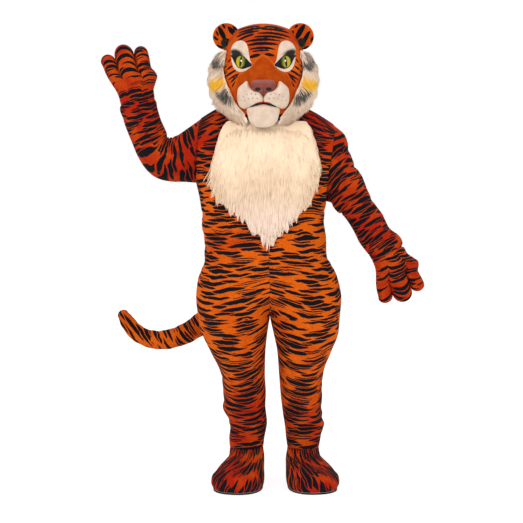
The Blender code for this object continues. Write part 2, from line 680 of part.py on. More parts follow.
def mitt_panel(palm, curl, length):
    """The outer grid of a mitt's palm or back, in its own frame: across, towards its back, along."""
    across_tip, along_tip = mitt_columns()
    share = (across_tip - across_tip[0]) / (across_tip[-1] - across_tip[0])
    local = np.abs(2 * share - 1)
    groove = np.zeros(len(share))
    groove[GROOVES] = 1
    rows = []
    for t in MITT_SHARES:
        along = along_tip * t
        far, near = read(MITT, "far", along), read(MITT, "thumb_side", along)
        across = far + (near - far) * share
        edge = np.sqrt(np.clip(1 - local ** (2.0 + 0.8 * t), 0, 1))
        tip = math.sqrt(max(0.0, 1 - max(0.0, (t - 0.62) / 0.38) ** 2))
        dip = 1 - FINGER_GROOVE * groove * ease((t - 0.45) / 0.3)
        depth = read(MITT, "depth", along) * edge * tip * dip
        forward = curl * (along / along_tip.max()) ** 2
        rows.append(np.stack([across, (-depth if palm else depth) - forward, along * length], axis=1))
    return np.array(rows)


def build_mitt(side, sleeve):
    """Palm and back, sewn round the edge, with the cuff tucked into the sleeve's end."""
    along = unit(np.array(MITTS[side]["along"]))
    across = unit(np.array(MITTS[side]["across"]))
    out = np.cross(along, across)
    out *= np.sign(out[1])
    wrist = sleeve[0][-1].mean(axis=0)
    panels = {}
    for palm in (True, False):
        local = mitt_panel(palm, MITTS[side]["curl"], MITTS[side]["length"])
        world = wrist + local @ np.stack([across, out, along])
        cuffs = []
        for loop in sleeve[1][-2:]:
            centre = loop.mean(axis=0)
            plane = unit(np.cross(loop[4] - loop[0], loop[9] - loop[0]))
            spokes = world[0] - wrist
            spokes = unit(spokes - np.outer(spokes @ plane, plane))
            cuffs.append(np.array([meet_loop(loop, centre, spoke) - spoke * CUFF_GAP for spoke in spokes]))
        panels[palm] = np.concatenate([cuffs, world])
    for end in (0, -1):
        shared = (panels[True][:, end] + panels[False][:, end]) / 2
        panels[True][:, end] = panels[False][:, end] = shared
    flips = {True: side == LEFT, False: side == RIGHT}
    grids = [(panels[palm], False, flips[palm]) for palm in (True, False)]
    for palm, (outer, _, flip), normal in zip((True, False), grids, sewn_normals(grids)):
        clefts = normal[-2:, GROOVES]
        normal[-2:, GROOVES] = unit(clefts - (clefts @ across)[..., None] * across)
        wall = np.full(outer.shape[:2], PLUSH)
        wall[-2:] *= TIP_WALL
        wall[-4:-2, GROOVES] *= TIP_WALL
        inner = outer - wall[..., None] * normal
        apart = (-out if palm else out) * SEAM / 2
        name = f"mitt_{side_name(side)}_{'palm' if palm else 'back'}"
        make_wall(name, outer + apart, inner + apart, PLUSH_ORANGE, flip=flip)


# ------------------------------------------------------------------ feet
def foot_ring(side, height, columns, swell=0.0):
    """A section of the foot cover round the leg's middle, blunt at the toe and narrower at the heel."""
    turn = 2 * math.pi * np.arange(columns) / columns
    toe, heel = read(FOOT, "toe", height) + swell, read(FOOT, "heel", height) + swell
    ball, rear = read(FOOT, "ball_half", height) + swell, read(FOOT, "heel_half", height) + swell
    round_x, round_y = (np.sign(part) * np.abs(part) ** FOOT_BLUNTNESS for part in (np.sin(turn), np.cos(turn)))
    forward = (toe + heel) / 2 * round_y + (toe - heel) / 2
    share = ease((forward + heel * 0.4) / (toe + heel) * 1.2)
    sideways = (rear + (ball - rear) * share) * round_x
    x, y = FOOT_PLACE[side]
    spin = side * TOE_OUT
    across = x + sideways * math.cos(spin) + forward * math.sin(spin)
    back = y + sideways * math.sin(spin) - forward * math.cos(spin)
    return np.stack([across, back, np.full(columns, height)], axis=1)


def build_foot(side, walls):
    """A plush cover whose top is tucked into the leg, and the flat sole under it."""
    front, back = (walls[side, face][1] for face in ("front", "back"))
    rows = [foot_ring(side, height, FOOT_COLUMNS) for height in FOOT["key"]]
    spokes = unit((rows[-1] - (*FOOT_PLACE[side], 0)) * (1, 1, 0))
    for k in (0, 1):
        loop = np.concatenate([front[k], back[k]])
        centre = loop.mean(axis=0)
        rows.append(np.array([meet_loop(loop, centre, spoke) - spoke * TUCK for spoke in spokes]))
    outer = np.array(rows)
    inner = outer - PLUSH * sewn_normals([(outer, True, False)])[0]
    inner[0, :, 2] = outer[0, :, 2]
    make_wall(f"foot_{side_name(side)}_upper", outer, inner, PLUSH_ORANGE, wrap=True)

    outline = foot_ring(side, FOOT["height"][0], SOLE["columns"], SOLE["proud"])
    curve = bpy.data.curves.new(f"foot_{side_name(side)}_sole", "CURVE")
    curve.dimensions = "2D"
    curve.fill_mode = "BOTH"
    curve.extrude = SOLE["thickness"] / 2
    spline = curve.splines.new("POLY")
    spline.points.add(len(outline) - 1)
    for point, (x, y, _) in zip(spline.points, outline):
        point.co = (x, y, 0, 1)
    spline.use_cyclic_u = True
    curve.materials.append(SOLE_BLACK)
    sole = bpy.data.objects.new(f"foot_{side_name(side)}_sole", curve)
    sole.location.z = SOLE["thickness"] / 2 - ORIGIN_HEIGHT
    costume.objects.link(sole)


# ------------------------------------------------------------------ tail
def build_tail(skins):
    """A stuffed tube sewn to the seat, its root cut to lie on the back panels."""
    seat = tree_of([skins[side, "back"] for side in (RIGHT, LEFT)])
    path = np.stack([TAIL_PATH[axis] for axis in ("x", "y", "height")], axis=1)
    rings = []
    for k, centre in enumerate(path):
        ahead = unit(path[min(k + 1, len(path) - 1)] - path[max(k - 1, 0)])
        if k == 0:
            ahead = np.array((0.0, 1.0, 0.0))
        flat = unit(np.cross(ahead, (0.0, 0.3, 1.0)))
        up = np.cross(ahead, flat)
        turn = 2 * math.pi * np.arange(TAIL_COLUMNS) / TAIL_COLUMNS
        ring = centre + TAIL_PATH["radius"][k] * (np.outer(np.cos(turn), flat) + np.outer(np.sin(turn), up))
        rings.append(ring)
    last = path[-1] + unit(path[-1] - path[-2]) * TAIL_PATH["radius"][-1] * TAIL_TIP
    root = [cast(seat, point * (1, 0, 1) + (0, FAR, 0), (0, -1, 0))[0] for point in rings[0]]
    middle, _ = cast(seat, path[0] * (1, 0, 1) + (0, FAR, 0), (0, -1, 0))
    points = np.concatenate([[middle], root, *rings[1:], [last]])
    n = TAIL_COLUMNS
    cap = [(0, 1 + (j + 1) % n, 1 + j) for j in range(n)]
    lifted = lift_clear(seat, points[: n + 1], np.tile((0.0, 1.0, 0.0), (n + 1, 1)), cap, TUCK)
    points[: n + 1] = lifted
    sides = [tuple(1 + k for k in face) for face in grid_faces(len(rings), n, wrap=True)]
    tip = len(points) - 1
    end = [(tip - n + j, tip - n + (j + 1) % n, tip) for j in range(n)]
    new_object("tail", points, cap + sides + end, PLUSH_ORANGE)


# ------------------------------------------------------------------ bib
def build_bib(skins):
    """Long fur on a cloth base: a pad with combed locks, lying on the chest."""
    chest = tree_of([skins[side, "front"] for side in (RIGHT, LEFT)])
    point = np.linspace(BIB["key"][0], BIB_POINT_TOP, BIB_ROWS["point"] + 1)
    heights = np.concatenate([point, np.linspace(BIB_POINT_TOP, BIB["key"][-1], BIB_ROWS["body"] + 1)[1:]])
    share = np.linspace(0, 1, LOCKS + 1)
    right, left = (read(BIB, column, heights)[:, None] for column in ("right", "left"))
    x = right + (left - right) * share
    rows, columns = x.shape
    under, out = np.zeros((rows, columns, 3)), np.zeros((rows, columns, 3))
    for i, j in np.ndindex(rows, columns):
        under[i, j], out[i, j] = cast(chest, (x[i, j], -FAR, heights[i]), (0, 1, 0))
    out[..., 0] *= (left - right) / (left - right).max()
    out = unit(out + (0, -0.6, 0))
    flat = lift_clear(chest, under.reshape(-1, 3), out.reshape(-1, 3), grid_faces(rows, columns), TUCK)
    under = flat.reshape(under.shape)
    edge = np.sqrt(1 - np.abs(2 * share - 1) ** 4)
    tuft = np.arange(columns) % 2
    thick = read(BIB, "thickness", heights)[:, None] - BIB_EDGE - LOCK_DEPTH * tuft
    outer = under + out * (BIB_EDGE + thick * edge)[..., None]
    outer[0] += unit(outer[0] - outer[1]) * TUFT["end"] * tuft[:, None]
    for column, away in ((0, -1), (-1, 1)):
        outer[1:-3, column, 0] += away * TUFT["side"] * (np.arange(rows - 4) % 2)
    make_wall("bib", outer, under, FUR_CREAM)
    return outer


# ------------------------------------------------------------------ head
def head_curve(height):
    """A section of the head, snout and all, at each of HEAD_ANGLES to both sides."""
    turn = np.radians(np.array(HEAD_ANGLES))
    half, front, back = (read(HEAD, column, height) for column in ("half_width", "front", "back"))
    depth = np.where(turn < math.pi / 2, front, back)
    power = 2 / HEAD_BLUNTNESS
    x = half * np.sin(turn) ** power
    y = depth * np.abs(np.cos(turn)) ** power
    out, width = read(SNOUT, "out", height), read(SNOUT, "half_width", height)
    y = y - np.where(turn < math.pi / 2, out * np.exp(-((x / width) ** 3)), 0)
    half_turn = np.stack([x, y], axis=1)
    mirrored = half_turn[-2:0:-1] * (-1, 1)
    whole = np.concatenate([half_turn, mirrored])
    return np.column_stack([whole[:, 0] + HEAD_X, whole[:, 1], np.full(len(whole), float(height))])


def rim_height(column, turn, below):
    """Where the head's open rim comes, just above the shoulders where it rests on them."""
    side_share = math.sin(turn) ** 2
    end = HEAD_RIM["front"] if math.cos(turn) > 0 else HEAD_RIM["back"]
    height = lowest = end + (HEAD_RIM["side"] - end) * side_share
    for _ in range(6):
        x, y, _ = head_curve(height)[column]
        for inset in (0.0, HEAD_WALL / 2, HEAD_WALL):
            toward = unit(np.array((HEAD_X - x, -y))) * inset
            hit = cast(below, (x + toward[0], y + toward[1], height + 0.2), (0, 0, -1))
            if hit is not None:
                lowest = max(lowest, hit[0][2] + TUCK)
        height = lowest
    return height


def head_grid(below):
    columns = 2 * (len(HEAD_ANGLES) - 1)
    turns = np.radians(np.concatenate([HEAD_ANGLES, np.array(HEAD_ANGLES[-2:0:-1])]))
    rims = [rim_height(column, turns[column], below) for column in range(columns)]
    top = HEAD["key"][-1]
    grid = np.zeros((len(HEAD_ROWS), columns, 3))
    for i, share in enumerate(HEAD_ROWS):
        for column in range(columns):
            grid[i, column] = head_curve(rims[column] + (top - rims[column]) * share)[column]
    return grid


def build_head(below):
    """The hollow head: an outer and an inner skin joined at the neck rim, both closed at the crown.

    Returns its outside as a search tree, carried on below the rim for the fur that hangs there.
    """
    grid = head_grid(below)
    rows, columns, _ = grid.shape
    count, low = rows * columns, HEAD["key"][0] - 0.02
    normals = sewn_normals([(grid, True, False)])[0]
    inner = grid - HEAD_WALL * normals
    inner[-1, :, 2] = np.minimum(inner[-1, :, 2], CROWN - HEAD_WALL * 1.1)
    inner[0, :, 2] = grid[0, :, 2]
    rim, upwards = np.concatenate([grid[0], inner[0]]), np.tile((0.0, 0.0, 1.0), (2 * columns, 1))
    lifted = lift_clear(below, rim, upwards, grid_faces(2, columns, wrap=True), TUCK)
    grid[0], inner[0] = lifted[:columns], lifted[columns:]
    crown = np.array((HEAD_X, 0.0, CROWN))
    points = np.concatenate([grid.reshape(-1, 3), inner.reshape(-1, 3), [crown, crown - (0, 0, HEAD_WALL)]])
    outside = grid_faces(rows, columns, wrap=True)
    last = count - columns
    faces = outside + [tuple(count + k for k in reversed(face)) for face in outside]
    faces += halved([((j + 1) % columns, j, count + j, count + (j + 1) % columns) for j in range(columns)])
    faces += [(last + j, last + (j + 1) % columns, 2 * count) for j in range(columns)]
    faces += [(count + last + (j + 1) % columns, count + last + j, 2 * count + 1) for j in range(columns)]
    new_object("head_shell", points, faces, PLUSH_ORANGE)
    skirt = [
        [head_curve(low + (edge[2] - low) * part)[column] for column, edge in enumerate(grid[0])]
        for part in (0.0, 0.5)
    ]
    return tree_of([(np.concatenate([skirt, grid]), True, False)])


def pad_on(name, tree, material, centre, half_size, thickness, **shape):
    """A sewn-on pad seen from the front as a rounded outline, its back lying on the head.

    shape: tilt turns it (radians), power squares its outline, edge is the least thickness, crown is how
    full it is, and rings and sectors are its cells.
    """
    rings, sectors = shape.get("rings", 3), shape.get("sectors", 14)
    ring = np.linspace(0, 1, rings + 1)[1:]
    turn = 2 * math.pi * np.arange(sectors) / sectors
    power = 2 / shape.get("power", 2.2)
    tilt, edge, crown = shape.get("tilt", 0.0), shape.get("edge", 0.003), shape.get("crown", 2.0)
    across = [0.0] + [r * math.copysign(abs(math.cos(t)) ** power, math.cos(t)) for r in ring for t in turn]
    up = [0.0] + [r * math.copysign(abs(math.sin(t)) ** power, math.sin(t)) for r in ring for t in turn]
    local = np.stack([np.array(across) * half_size[0], np.array(up) * half_size[1]], axis=1)
    x = centre[0] + local[:, 0] * math.cos(tilt) - local[:, 1] * math.sin(tilt)
    z = centre[1] + local[:, 0] * math.sin(tilt) + local[:, 1] * math.cos(tilt)
    hits = [cast(tree, (a, -FAR, b), (0, 1, 0)) for a, b in zip(x, z)]
    under = np.array([hit[0] for hit in hits])
    out = unit(np.array([hit[1] for hit in hits]) + (0, -0.8, 0))
    level = np.concatenate([[0.0], np.repeat(ring, sectors)])
    faces = [(0, 1 + j, 1 + (j + 1) % sectors) for j in range(sectors)]
    for i in range(rings - 1):
        near = [1 + i * sectors + j for j in range(sectors)]
        after = near[1:] + near[:1]
        faces += halved([(a, a + sectors, b + sectors, b) for a, b in zip(near, after)])
    under = lift_clear(tree, under, out, faces, TUCK)
    height = edge + (thickness - edge) * (1 - level**crown) ** (1 / crown)
    outer = under + out * height[:, None]
    count = len(under)
    every = faces + [tuple(count + k for k in reversed(face)) for face in faces]
    last = 1 + (rings - 1) * sectors
    for j in range(sectors):
        a, b = last + j, last + (j + 1) % sectors
        every += halved([(b, a, count + a, count + b)])
    new_object(name, np.concatenate([outer, under]), every, material)
    return [Vector(p) for p in outer], faces


def build_ruff(side, tree, below):
    """Long cheek fur from the ear to the jaw: a thick pad round the side of the head, clear of the shoulder."""
    levels, share = RUFF_CELLS["up"] + 1, np.linspace(0, 1, RUFF_CELLS["round"] + 1)
    swell = np.sqrt(np.clip(1 - np.abs(2 * share - 0.95) ** 3, 0.02, 1))
    comb = RUFF_COMB * (np.arange(levels) % 2)[:, None]
    bottom = np.full(len(share), RUFF["key"][0])
    for _ in range(RUFF_PASSES):
        heights = bottom + (RUFF["key"][-1] - bottom) * np.linspace(0, 1, levels)[:, None]
        under, out = np.zeros((*heights.shape, 3)), np.zeros((*heights.shape, 3))
        for (i, j), height in np.ndenumerate(heights):
            first, last = read(RUFF, "front_turn", height), read(RUFF, "back_turn", height)
            turn = math.radians(first + (last - first) * share[j])
            away = np.array((side * math.sin(turn), -math.cos(turn), 0.0))
            under[i, j], out[i, j] = cast(tree, np.array((HEAD_X, 0.0, height)) + away * FAR, -away)
        out[..., 2] = np.maximum(out[..., 2], -0.15)
        out = unit(out)
        thick = read(RUFF, "thickness", heights) - RUFF_EDGE - comb
        outer = under + out * (RUFF_EDGE + thick * swell)[..., None]
        low = np.concatenate([under[:3], outer[:3], (under[:3] + outer[:3]) / 2])
        low = np.stack([low, (low + np.roll(low, 1, axis=1)) / 2, (low + np.roll(low, -1, axis=1)) / 2])
        low[1, :, 0], low[2, :, -1] = low[0, :, 0], low[0, :, -1]
        for j in range(len(share)):
            points = low[:, :, j].reshape(-1, 3)
            hits = [cast(below, point * (1, 1, 0) + (0, 0, CROWN), (0, 0, -1)) for point in points]
            short = [hit[0][2] + RUFF_CLEAR - point[2] for hit, point in zip(hits, points) if hit is not None]
            bottom[j] += max(short + [0.0])
    faces = grid_faces(levels, len(share))
    lifted = lift_clear(tree, under.reshape(-1, 3), out.reshape(-1, 3), faces, TUCK).reshape(under.shape)
    make_wall(f"cheek_ruff_{side_name(side)}", outer + lifted - under, lifted, FUR_CREAM, flip=side == RIGHT)


def build_ear(side, tree):
    """A round cupped ear sewn along the upper corner of the head, with a dark tuft in its cup."""
    centre = np.array((HEAD_X + side * EAR["across"], EAR["y"], EAR["height"]))
    cells = EAR_CELLS["round"]
    turns = np.linspace(*EAR_RIM, cells + 1)
    rim = centre + EAR["radius"] * np.stack([side * np.cos(turns), 0 * turns, np.sin(turns)], axis=1)
    base = []
    for t in np.linspace(*EAR_SEAM, cells + 1):
        away = np.array((side * math.cos(t), 0.0, math.sin(t)))
        target = centre + 0.82 * EAR["radius"] * away - np.array((side, 0, 1)) * 0.008
        inward = unit((target - (HEAD_X + side * 0.02, 0.0, 1.70)) * (-1, 0, -1))
        base.append((target - inward * 0.3, inward))
    feet = []
    for offset in EAR_FACES.values():
        feet += [cast(tree, origin + (0, offset, 0), inward)[0] for origin, inward in base]
    away = np.array([-inward for _, inward in base] * 2)
    feet = lift_clear(tree, np.array(feet), away, grid_faces(2, cells + 1), TUCK)
    feet = {"front": feet[: cells + 1], "back": feet[cells + 1 :]}
    across = np.sin(np.linspace(0, math.pi, cells + 1))
    sides = {}
    for face, offset in EAR_FACES.items():
        rows = []
        for t in np.linspace(0, 1, EAR_CELLS["up"] + 1):
            edge = rim + (0, offset * (1 - 0.45 * t) - 0.010 * t, 0)
            cup = EAR["cup"] * math.sin(math.pi * t) * across
            rows.append(feet[face] + (edge - feet[face]) * t + np.outer(cup, (0, 1, 0)))
        sides[face] = np.array(rows)
    make_wall(f"ear_{side_name(side)}", sides["front"], sides["back"], PLUSH_ORANGE, flip=side == LEFT)
    cup = tree_of([(sides["front"], False, side == LEFT)])
    pad_on(
        f"ear_inner_{side_name(side)}", (tree, cup), INNER_EAR,
        centre=(HEAD_X + side * EAR["across"], 1.829), half_size=(0.021, 0.035), thickness=0.008,
        tilt=side * -0.2, rings=2, sectors=12,
    )


def build_face(tree):
    """The pieces sewn or set on the front of the head."""
    points, faces = [], []
    for side in (RIGHT, LEFT):
        name = side_name(side)
        patch, cells = pad_on(
            f"eye_patch_{name}", tree, FELT_WHITE,
            centre=(HEAD_X + side * 0.0925, 1.750), half_size=(0.045, 0.066), thickness=0.005,
            tilt=side * -0.10, power=2.1, sectors=16,
        )
        pad_on(
            f"eye_{name}", (tree, BVHTree.FromPolygons(patch, cells)), EYE_GLOSS,
            centre=(HEAD_X + side * 0.0915, 1.733), half_size=(0.046, 0.027), thickness=0.009,
            tilt=side * 0.55, power=1.7, edge=0.002,
        )
        pad, cells = pad_on(
            f"muzzle_{name}", tree, FELT_WHITE,
            centre=(HEAD_X + side * 0.0530, 1.588), half_size=(0.0515, 0.053), thickness=0.024,
            power=2.3, rings=4, sectors=18, edge=0.004, crown=2.4,
        )
        faces += [tuple(len(points) + k for k in cell) for cell in cells]
        points += pad
    pad_on(
        "chin", tree, FELT_WHITE,
        centre=(HEAD_X, 1.4995), half_size=(0.063, 0.035), thickness=0.028,
        power=3.0, rings=4, sectors=16, edge=0.004, crown=2.4,
    )
    pad_on(
        "nose", (tree, BVHTree.FromPolygons(points, faces)), NOSE_BROWN,
        centre=(HEAD_X, 1.625), half_size=(0.044, 0.028), thickness=0.022,
        power=3.0, rings=4, sectors=16, edge=0.014, crown=2.6,
    )


# ------------------------------------------------------------------ materials and the whole
def material(name, colour, roughness, metallic=0.0):
    made = bpy.data.materials.new(name)
    made.use_nodes = True
    surface = made.node_tree.nodes["Principled BSDF"]
    surface.inputs["Base Color"].default_value = (*colour, 1)
    surface.inputs["Roughness"].default_value = roughness
    surface.inputs["Metallic"].default_value = metallic
    return made


for thing in list(bpy.data.objects):
    bpy.data.objects.remove(thing)
costume = bpy.data.collections.new("tiger_costume")
bpy.context.scene.collection.children.link(costume)

PLUSH_ORANGE = material("plush_orange", (0.72, 0.13, 0.01), 0.9)
FUR_CREAM = material("fur_cream", (0.83, 0.71, 0.58), 0.95)
FELT_WHITE = material("felt_white", (0.84, 0.75, 0.68), 0.9)
INNER_EAR = material("inner_ear_fur", (0.05, 0.045, 0.04), 0.95)
NOSE_BROWN = material("nose_brown", (0.22, 0.08, 0.07), 0.45)
EYE_GLOSS = material("eye_gloss", (0.35, 0.40, 0.04), 0.15)
SOLE_BLACK = material("sole_black", (0.015, 0.015, 0.016), 0.7)
ZIP_TAPE = material("zip_tape", (0.10, 0.03, 0.01), 0.8)


def main():
    walls, skins = build_suit()
    build_zip(walls)
    for side in (RIGHT, LEFT):
        build_mitt(side, walls[side, "sleeve"])
        build_foot(side, walls)
    build_tail(skins)
    bib = build_bib(skins)
    below = tree_of(list(skins.values()) + [(bib, False, False)])
    head = build_head(below)
    for side in (RIGHT, LEFT):
        build_ruff(side, head, below)
        build_ear(side, head)
    build_face(head)


main()
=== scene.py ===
"""Looks of the tiger costume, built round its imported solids.

Metres, +Z up, the front towards -Y, the wearer's left towards +X. Heights in the tables are above the floor;
the world's origin is between the wearer's shoulders, ORIGIN_HEIGHT above it.
"""

import math

import bpy
import numpy as np
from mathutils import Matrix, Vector
from mathutils.bvhtree import BVHTree
from mathutils.kdtree import KDTree


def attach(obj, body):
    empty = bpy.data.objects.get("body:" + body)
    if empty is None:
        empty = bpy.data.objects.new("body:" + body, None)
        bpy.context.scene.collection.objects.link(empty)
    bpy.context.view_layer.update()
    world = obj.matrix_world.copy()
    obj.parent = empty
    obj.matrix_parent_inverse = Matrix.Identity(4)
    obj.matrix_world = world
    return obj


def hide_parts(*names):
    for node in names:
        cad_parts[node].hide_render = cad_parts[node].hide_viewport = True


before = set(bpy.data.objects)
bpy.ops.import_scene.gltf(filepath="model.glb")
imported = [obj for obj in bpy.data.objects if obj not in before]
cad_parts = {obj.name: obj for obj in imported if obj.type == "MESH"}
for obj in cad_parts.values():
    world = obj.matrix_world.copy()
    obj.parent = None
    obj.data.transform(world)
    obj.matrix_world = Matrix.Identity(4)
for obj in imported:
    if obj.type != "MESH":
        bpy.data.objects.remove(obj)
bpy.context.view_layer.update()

# ------------------------------------------------------------------ driving sizes
ORIGIN_HEIGHT = 1.500
PLUSH = 0.003  # short-pile cloth
FAR = 0.9  # where a ray towards the costume starts
RIGHT, LEFT = -1, 1  # the wearer's sides
PITCH, STREAK = 0.0265, 0.175  # between two rows of tiger streaks, and the room one streak has in its row

HALF_TURN_STEPS = 360  # a row's curve before it is shared out in cells
HALF_CELLS = 54  # cloth cells across one suit panel
NECK_CELLS = 18  # of those, the ones along the neckline
ARMHOLE_CELLS = 44  # cells up each edge of an armhole
EDGE_CROWDING = 0.78  # how much closer the cells lie at a panel's seams; 0 would be even
SEAM_DIP = {"depth": 0.0028, "width": 0.006}

CALF_TOP, CALF_CROWDING, CALF_BOLD = 0.50, 0.32, 0.06  # below this height a leg's rows lie closer and bolder
TRUE_FROM, TRUE_TO = 0.90, 1.46  # between these heights the torso's streaks are level
TRUE_FADE = {"below": 0.10, "above": 0.06}
SLEEVE_PITCH = 0.0235
SLEEVE_PRINT_TURN = 0.85  # how far a sleeve's streaks lie square to the arm, not along its armhole
SLEEVE_STEADY = 16  # rows each way over which the arm's direction is taken
LEG_HEM, CROTCH, FORK_TOP, ARMPIT = 0.140, 0.678, 0.800, 1.160
LEG_ROWS = np.linspace(LEG_HEM, 0.672, 88)
FORK_ROWS = CROTCH + (FORK_TOP - CROTCH) * np.linspace(0, 1, 28)[:-1] ** 2
TORSO_ROWS = np.linspace(FORK_TOP, ARMPIT, 60)


# How soon a crease has died away at the end of its reach; at 1 it would fade over half of it.
CREASE_END = 1.3


def table(names, *rows):
    """A table with named columns; its first column is the one it is read by."""
    columns = np.array(rows, float).T
    return dict(zip(names.split(), columns), key=columns[0])


LEGS = table(
    "height right_outer right_inner left_inner left_outer front back",
    (0.140, -0.152, -0.010, 0.088, 0.222, -0.086, 0.078),
    (0.174, -0.154, -0.006, 0.083, 0.228, -0.086, 0.078),
    (0.215, -0.150, 0.002, 0.079, 0.238, -0.090, 0.084),
    (0.238, -0.155, 0.005, 0.076, 0.247, -0.097, 0.089),
    (0.268, -0.170, 0.002, 0.071, 0.241, -0.090, 0.084),
    (0.306, -0.181, -0.002, 0.066, 0.230, -0.098, 0.093),
    (0.358, -0.179, 0.000, 0.060, 0.235, -0.094, 0.095),
    (0.443, -0.190, -0.004, 0.0535, 0.240, -0.108, 0.094),
    (0.529, -0.230, -0.002, 0.047, 0.271, -0.122, 0.108),
    (0.614, -0.2695, 0.0067, 0.030, 0.303, -0.136, 0.132),
    (0.655, -0.280, 0.013, 0.0205, 0.307, -0.142, 0.144),
    (0.678, -0.284, 0.0167, 0.0167, 0.309, -0.146, 0.150),
    (0.760, -0.292, 0.0167, 0.0167, 0.315, -0.150, 0.166),
    (0.800, -0.289, 0.0160, 0.0160, 0.309, -0.148, 0.168),
)
TORSO = table(
    "height right left middle front back",
    (0.678, -0.284, 0.309, 0.0167, -0.146, 0.150),
    (0.700, -0.288, 0.311, 0.0167, -0.148, 0.156),
    (0.760, -0.292, 0.315, 0.0167, -0.150, 0.166),
    (0.800, -0.289, 0.309, 0.0160, -0.148, 0.168),
    (0.830, -0.285, 0.302, 0.0150, -0.147, 0.166),
    (0.870, -0.277, 0.288, 0.0140, -0.147, 0.158),
    (0.922, -0.260, 0.264, 0.0120, -0.148, 0.145),
    (0.990, -0.257, 0.252, 0.0080, -0.148, 0.132),
    (1.070, -0.2645, 0.247, 0.0020, -0.147, 0.127),
    (1.160, -0.275, 0.2515, -0.0040, -0.147, 0.133),
    (1.240, -0.2925, 0.257, -0.0080, -0.146, 0.142),
)
ROUNDNESS = 2.3  # superellipse power of the torso's section
SIDE_LIFT = {RIGHT: 0.076, LEFT: 0.0}  # how far the raised arm draws the side of the cloth up at the armpit
SIDE_LIFT_FROM = 0.880

NECK = {"middle": -0.010, "centre_y": 0.010, "side": 0.090, "front": 0.082, "back": 0.070}
NECK_HEIGHT = {"front": 1.538, "side": 1.583, "back": 1.572}
SHOULDER_TIP = {RIGHT: (-0.277, 0.0, 1.503), LEFT: (0.288, 0.0, 1.477)}
SHOULDER_CROWN = 0.012  # how far the shoulder line stands above a straight one
# Which way chest and back run, as (outward, up) speeds: above the armpit's level and into the shoulder line.
PANEL_LEAVES = {"centre": (0.02, 0.40), "side": (0.40, 0.26)}
PANEL_ARRIVES = {"centre": (-0.30, 0.16), "side": (-0.38, 0.12)}
SIDE_FROM = 0.60  # the share of a panel's width where its side speeds begin

SLEEVES = {
    RIGHT: table(
        "ring top_x top_z under_x under_z y depth",
        (1, -0.322, 1.467, -0.340, 1.240, -0.004, 0.102),
        (2, -0.366, 1.436, -0.402, 1.242, -0.012, 0.098),
        (3, -0.396, 1.427, -0.456, 1.257, -0.020, 0.089),
        (4, -0.408, 1.429, -0.497, 1.291, -0.030, 0.083),
        (5, -0.411, 1.436, -0.531, 1.344, -0.036, 0.080),
        (6, -0.4125, 1.445, -0.554, 1.400, -0.042, 0.076),
        (7, -0.420, 1.464, -0.5695, 1.438, -0.048, 0.075),
        (8, -0.432, 1.490, -0.582, 1.472, -0.054, 0.077),
        (9, -0.441, 1.518, -0.590, 1.502, -0.060, 0.073),
        (10, -0.449, 1.550, -0.600, 1.528, -0.067, 0.077),
        (11, -0.452, 1.584, -0.603, 1.557, -0.074, 0.074),
    ),
    LEFT: table(
        "ring top_x top_z under_x under_z y depth",
        (1, 0.330, 1.434, 0.272, 1.153, -0.002, 0.104),
        (2, 0.3505, 1.364, 0.279, 1.139, -0.005, 0.103),
        (3, 0.371, 1.310, 0.288, 1.125, -0.010, 0.098),
        (4, 0.402, 1.260, 0.300, 1.113, -0.015, 0.092),
        (5, 0.423, 1.205, 0.3147, 1.105, -0.020, 0.086),
        (6, 0.453, 1.148, 0.334, 1.084, -0.026, 0.080),
        (7, 0.486, 1.102, 0.363, 1.038, -0.032, 0.077),
        (8, 0.510, 1.051, 0.388, 0.987, -0.038, 0.074),
        (9, 0.545, 1.023, 0.412, 0.955, -0.044, 0.076),
        (10, 0.561, 1.002, 0.430, 0.931, -0.048, 0.077),
        (11, 0.568, 0.976, 0.442, 0.909, -0.052, 0.073),
    ),
}


# A crease or swell of the worn cloth: where round the limb it is centred (degrees from the front, towards the
# side), how long and how wide it is, how far it slopes and how far it stands out (negative for a trough).
FOLDS = table(
    "height side turn reach slope width depth",
    (0.252, RIGHT, 60, 150, 0.05, 0.020, -0.006),
    (0.318, RIGHT, 150, 120, -0.10, 0.022, -0.006),
    (0.400, RIGHT, 30, 110, 0.08, 0.030, 0.005),
    (0.470, RIGHT, -30, 100, -0.12, 0.030, -0.005),
    (0.590, RIGHT, 20, 80, 0.30, 0.032, -0.006),
    (0.640, RIGHT, 215, 90, -0.20, 0.034, -0.007),
    (0.252, LEFT, 100, 150, -0.06, 0.020, -0.007),
    (0.322, LEFT, 40, 120, 0.10, 0.022, 0.006),
    (0.392, LEFT, 170, 110, -0.08, 0.030, -0.006),
    (0.478, LEFT, 20, 100, 0.12, 0.030, -0.005),
    (0.596, LEFT, 30, 80, -0.30, 0.032, -0.006),
    (0.646, LEFT, 200, 90, 0.22, 0.034, -0.007),
    (0.900, RIGHT, 85, 80, 0.10, 0.030, -0.007),
    (0.945, LEFT, 80, 80, -0.12, 0.030, -0.006),
    (0.930, RIGHT, 140, 70, -0.10, 0.034, -0.006),
    (0.985, LEFT, 150, 70, 0.10, 0.034, -0.006),
    (1.050, RIGHT, 95, 70, 0.16, 0.034, 0.005),
    (1.075, LEFT, 100, 70, -0.10, 0.034, -0.006),
)


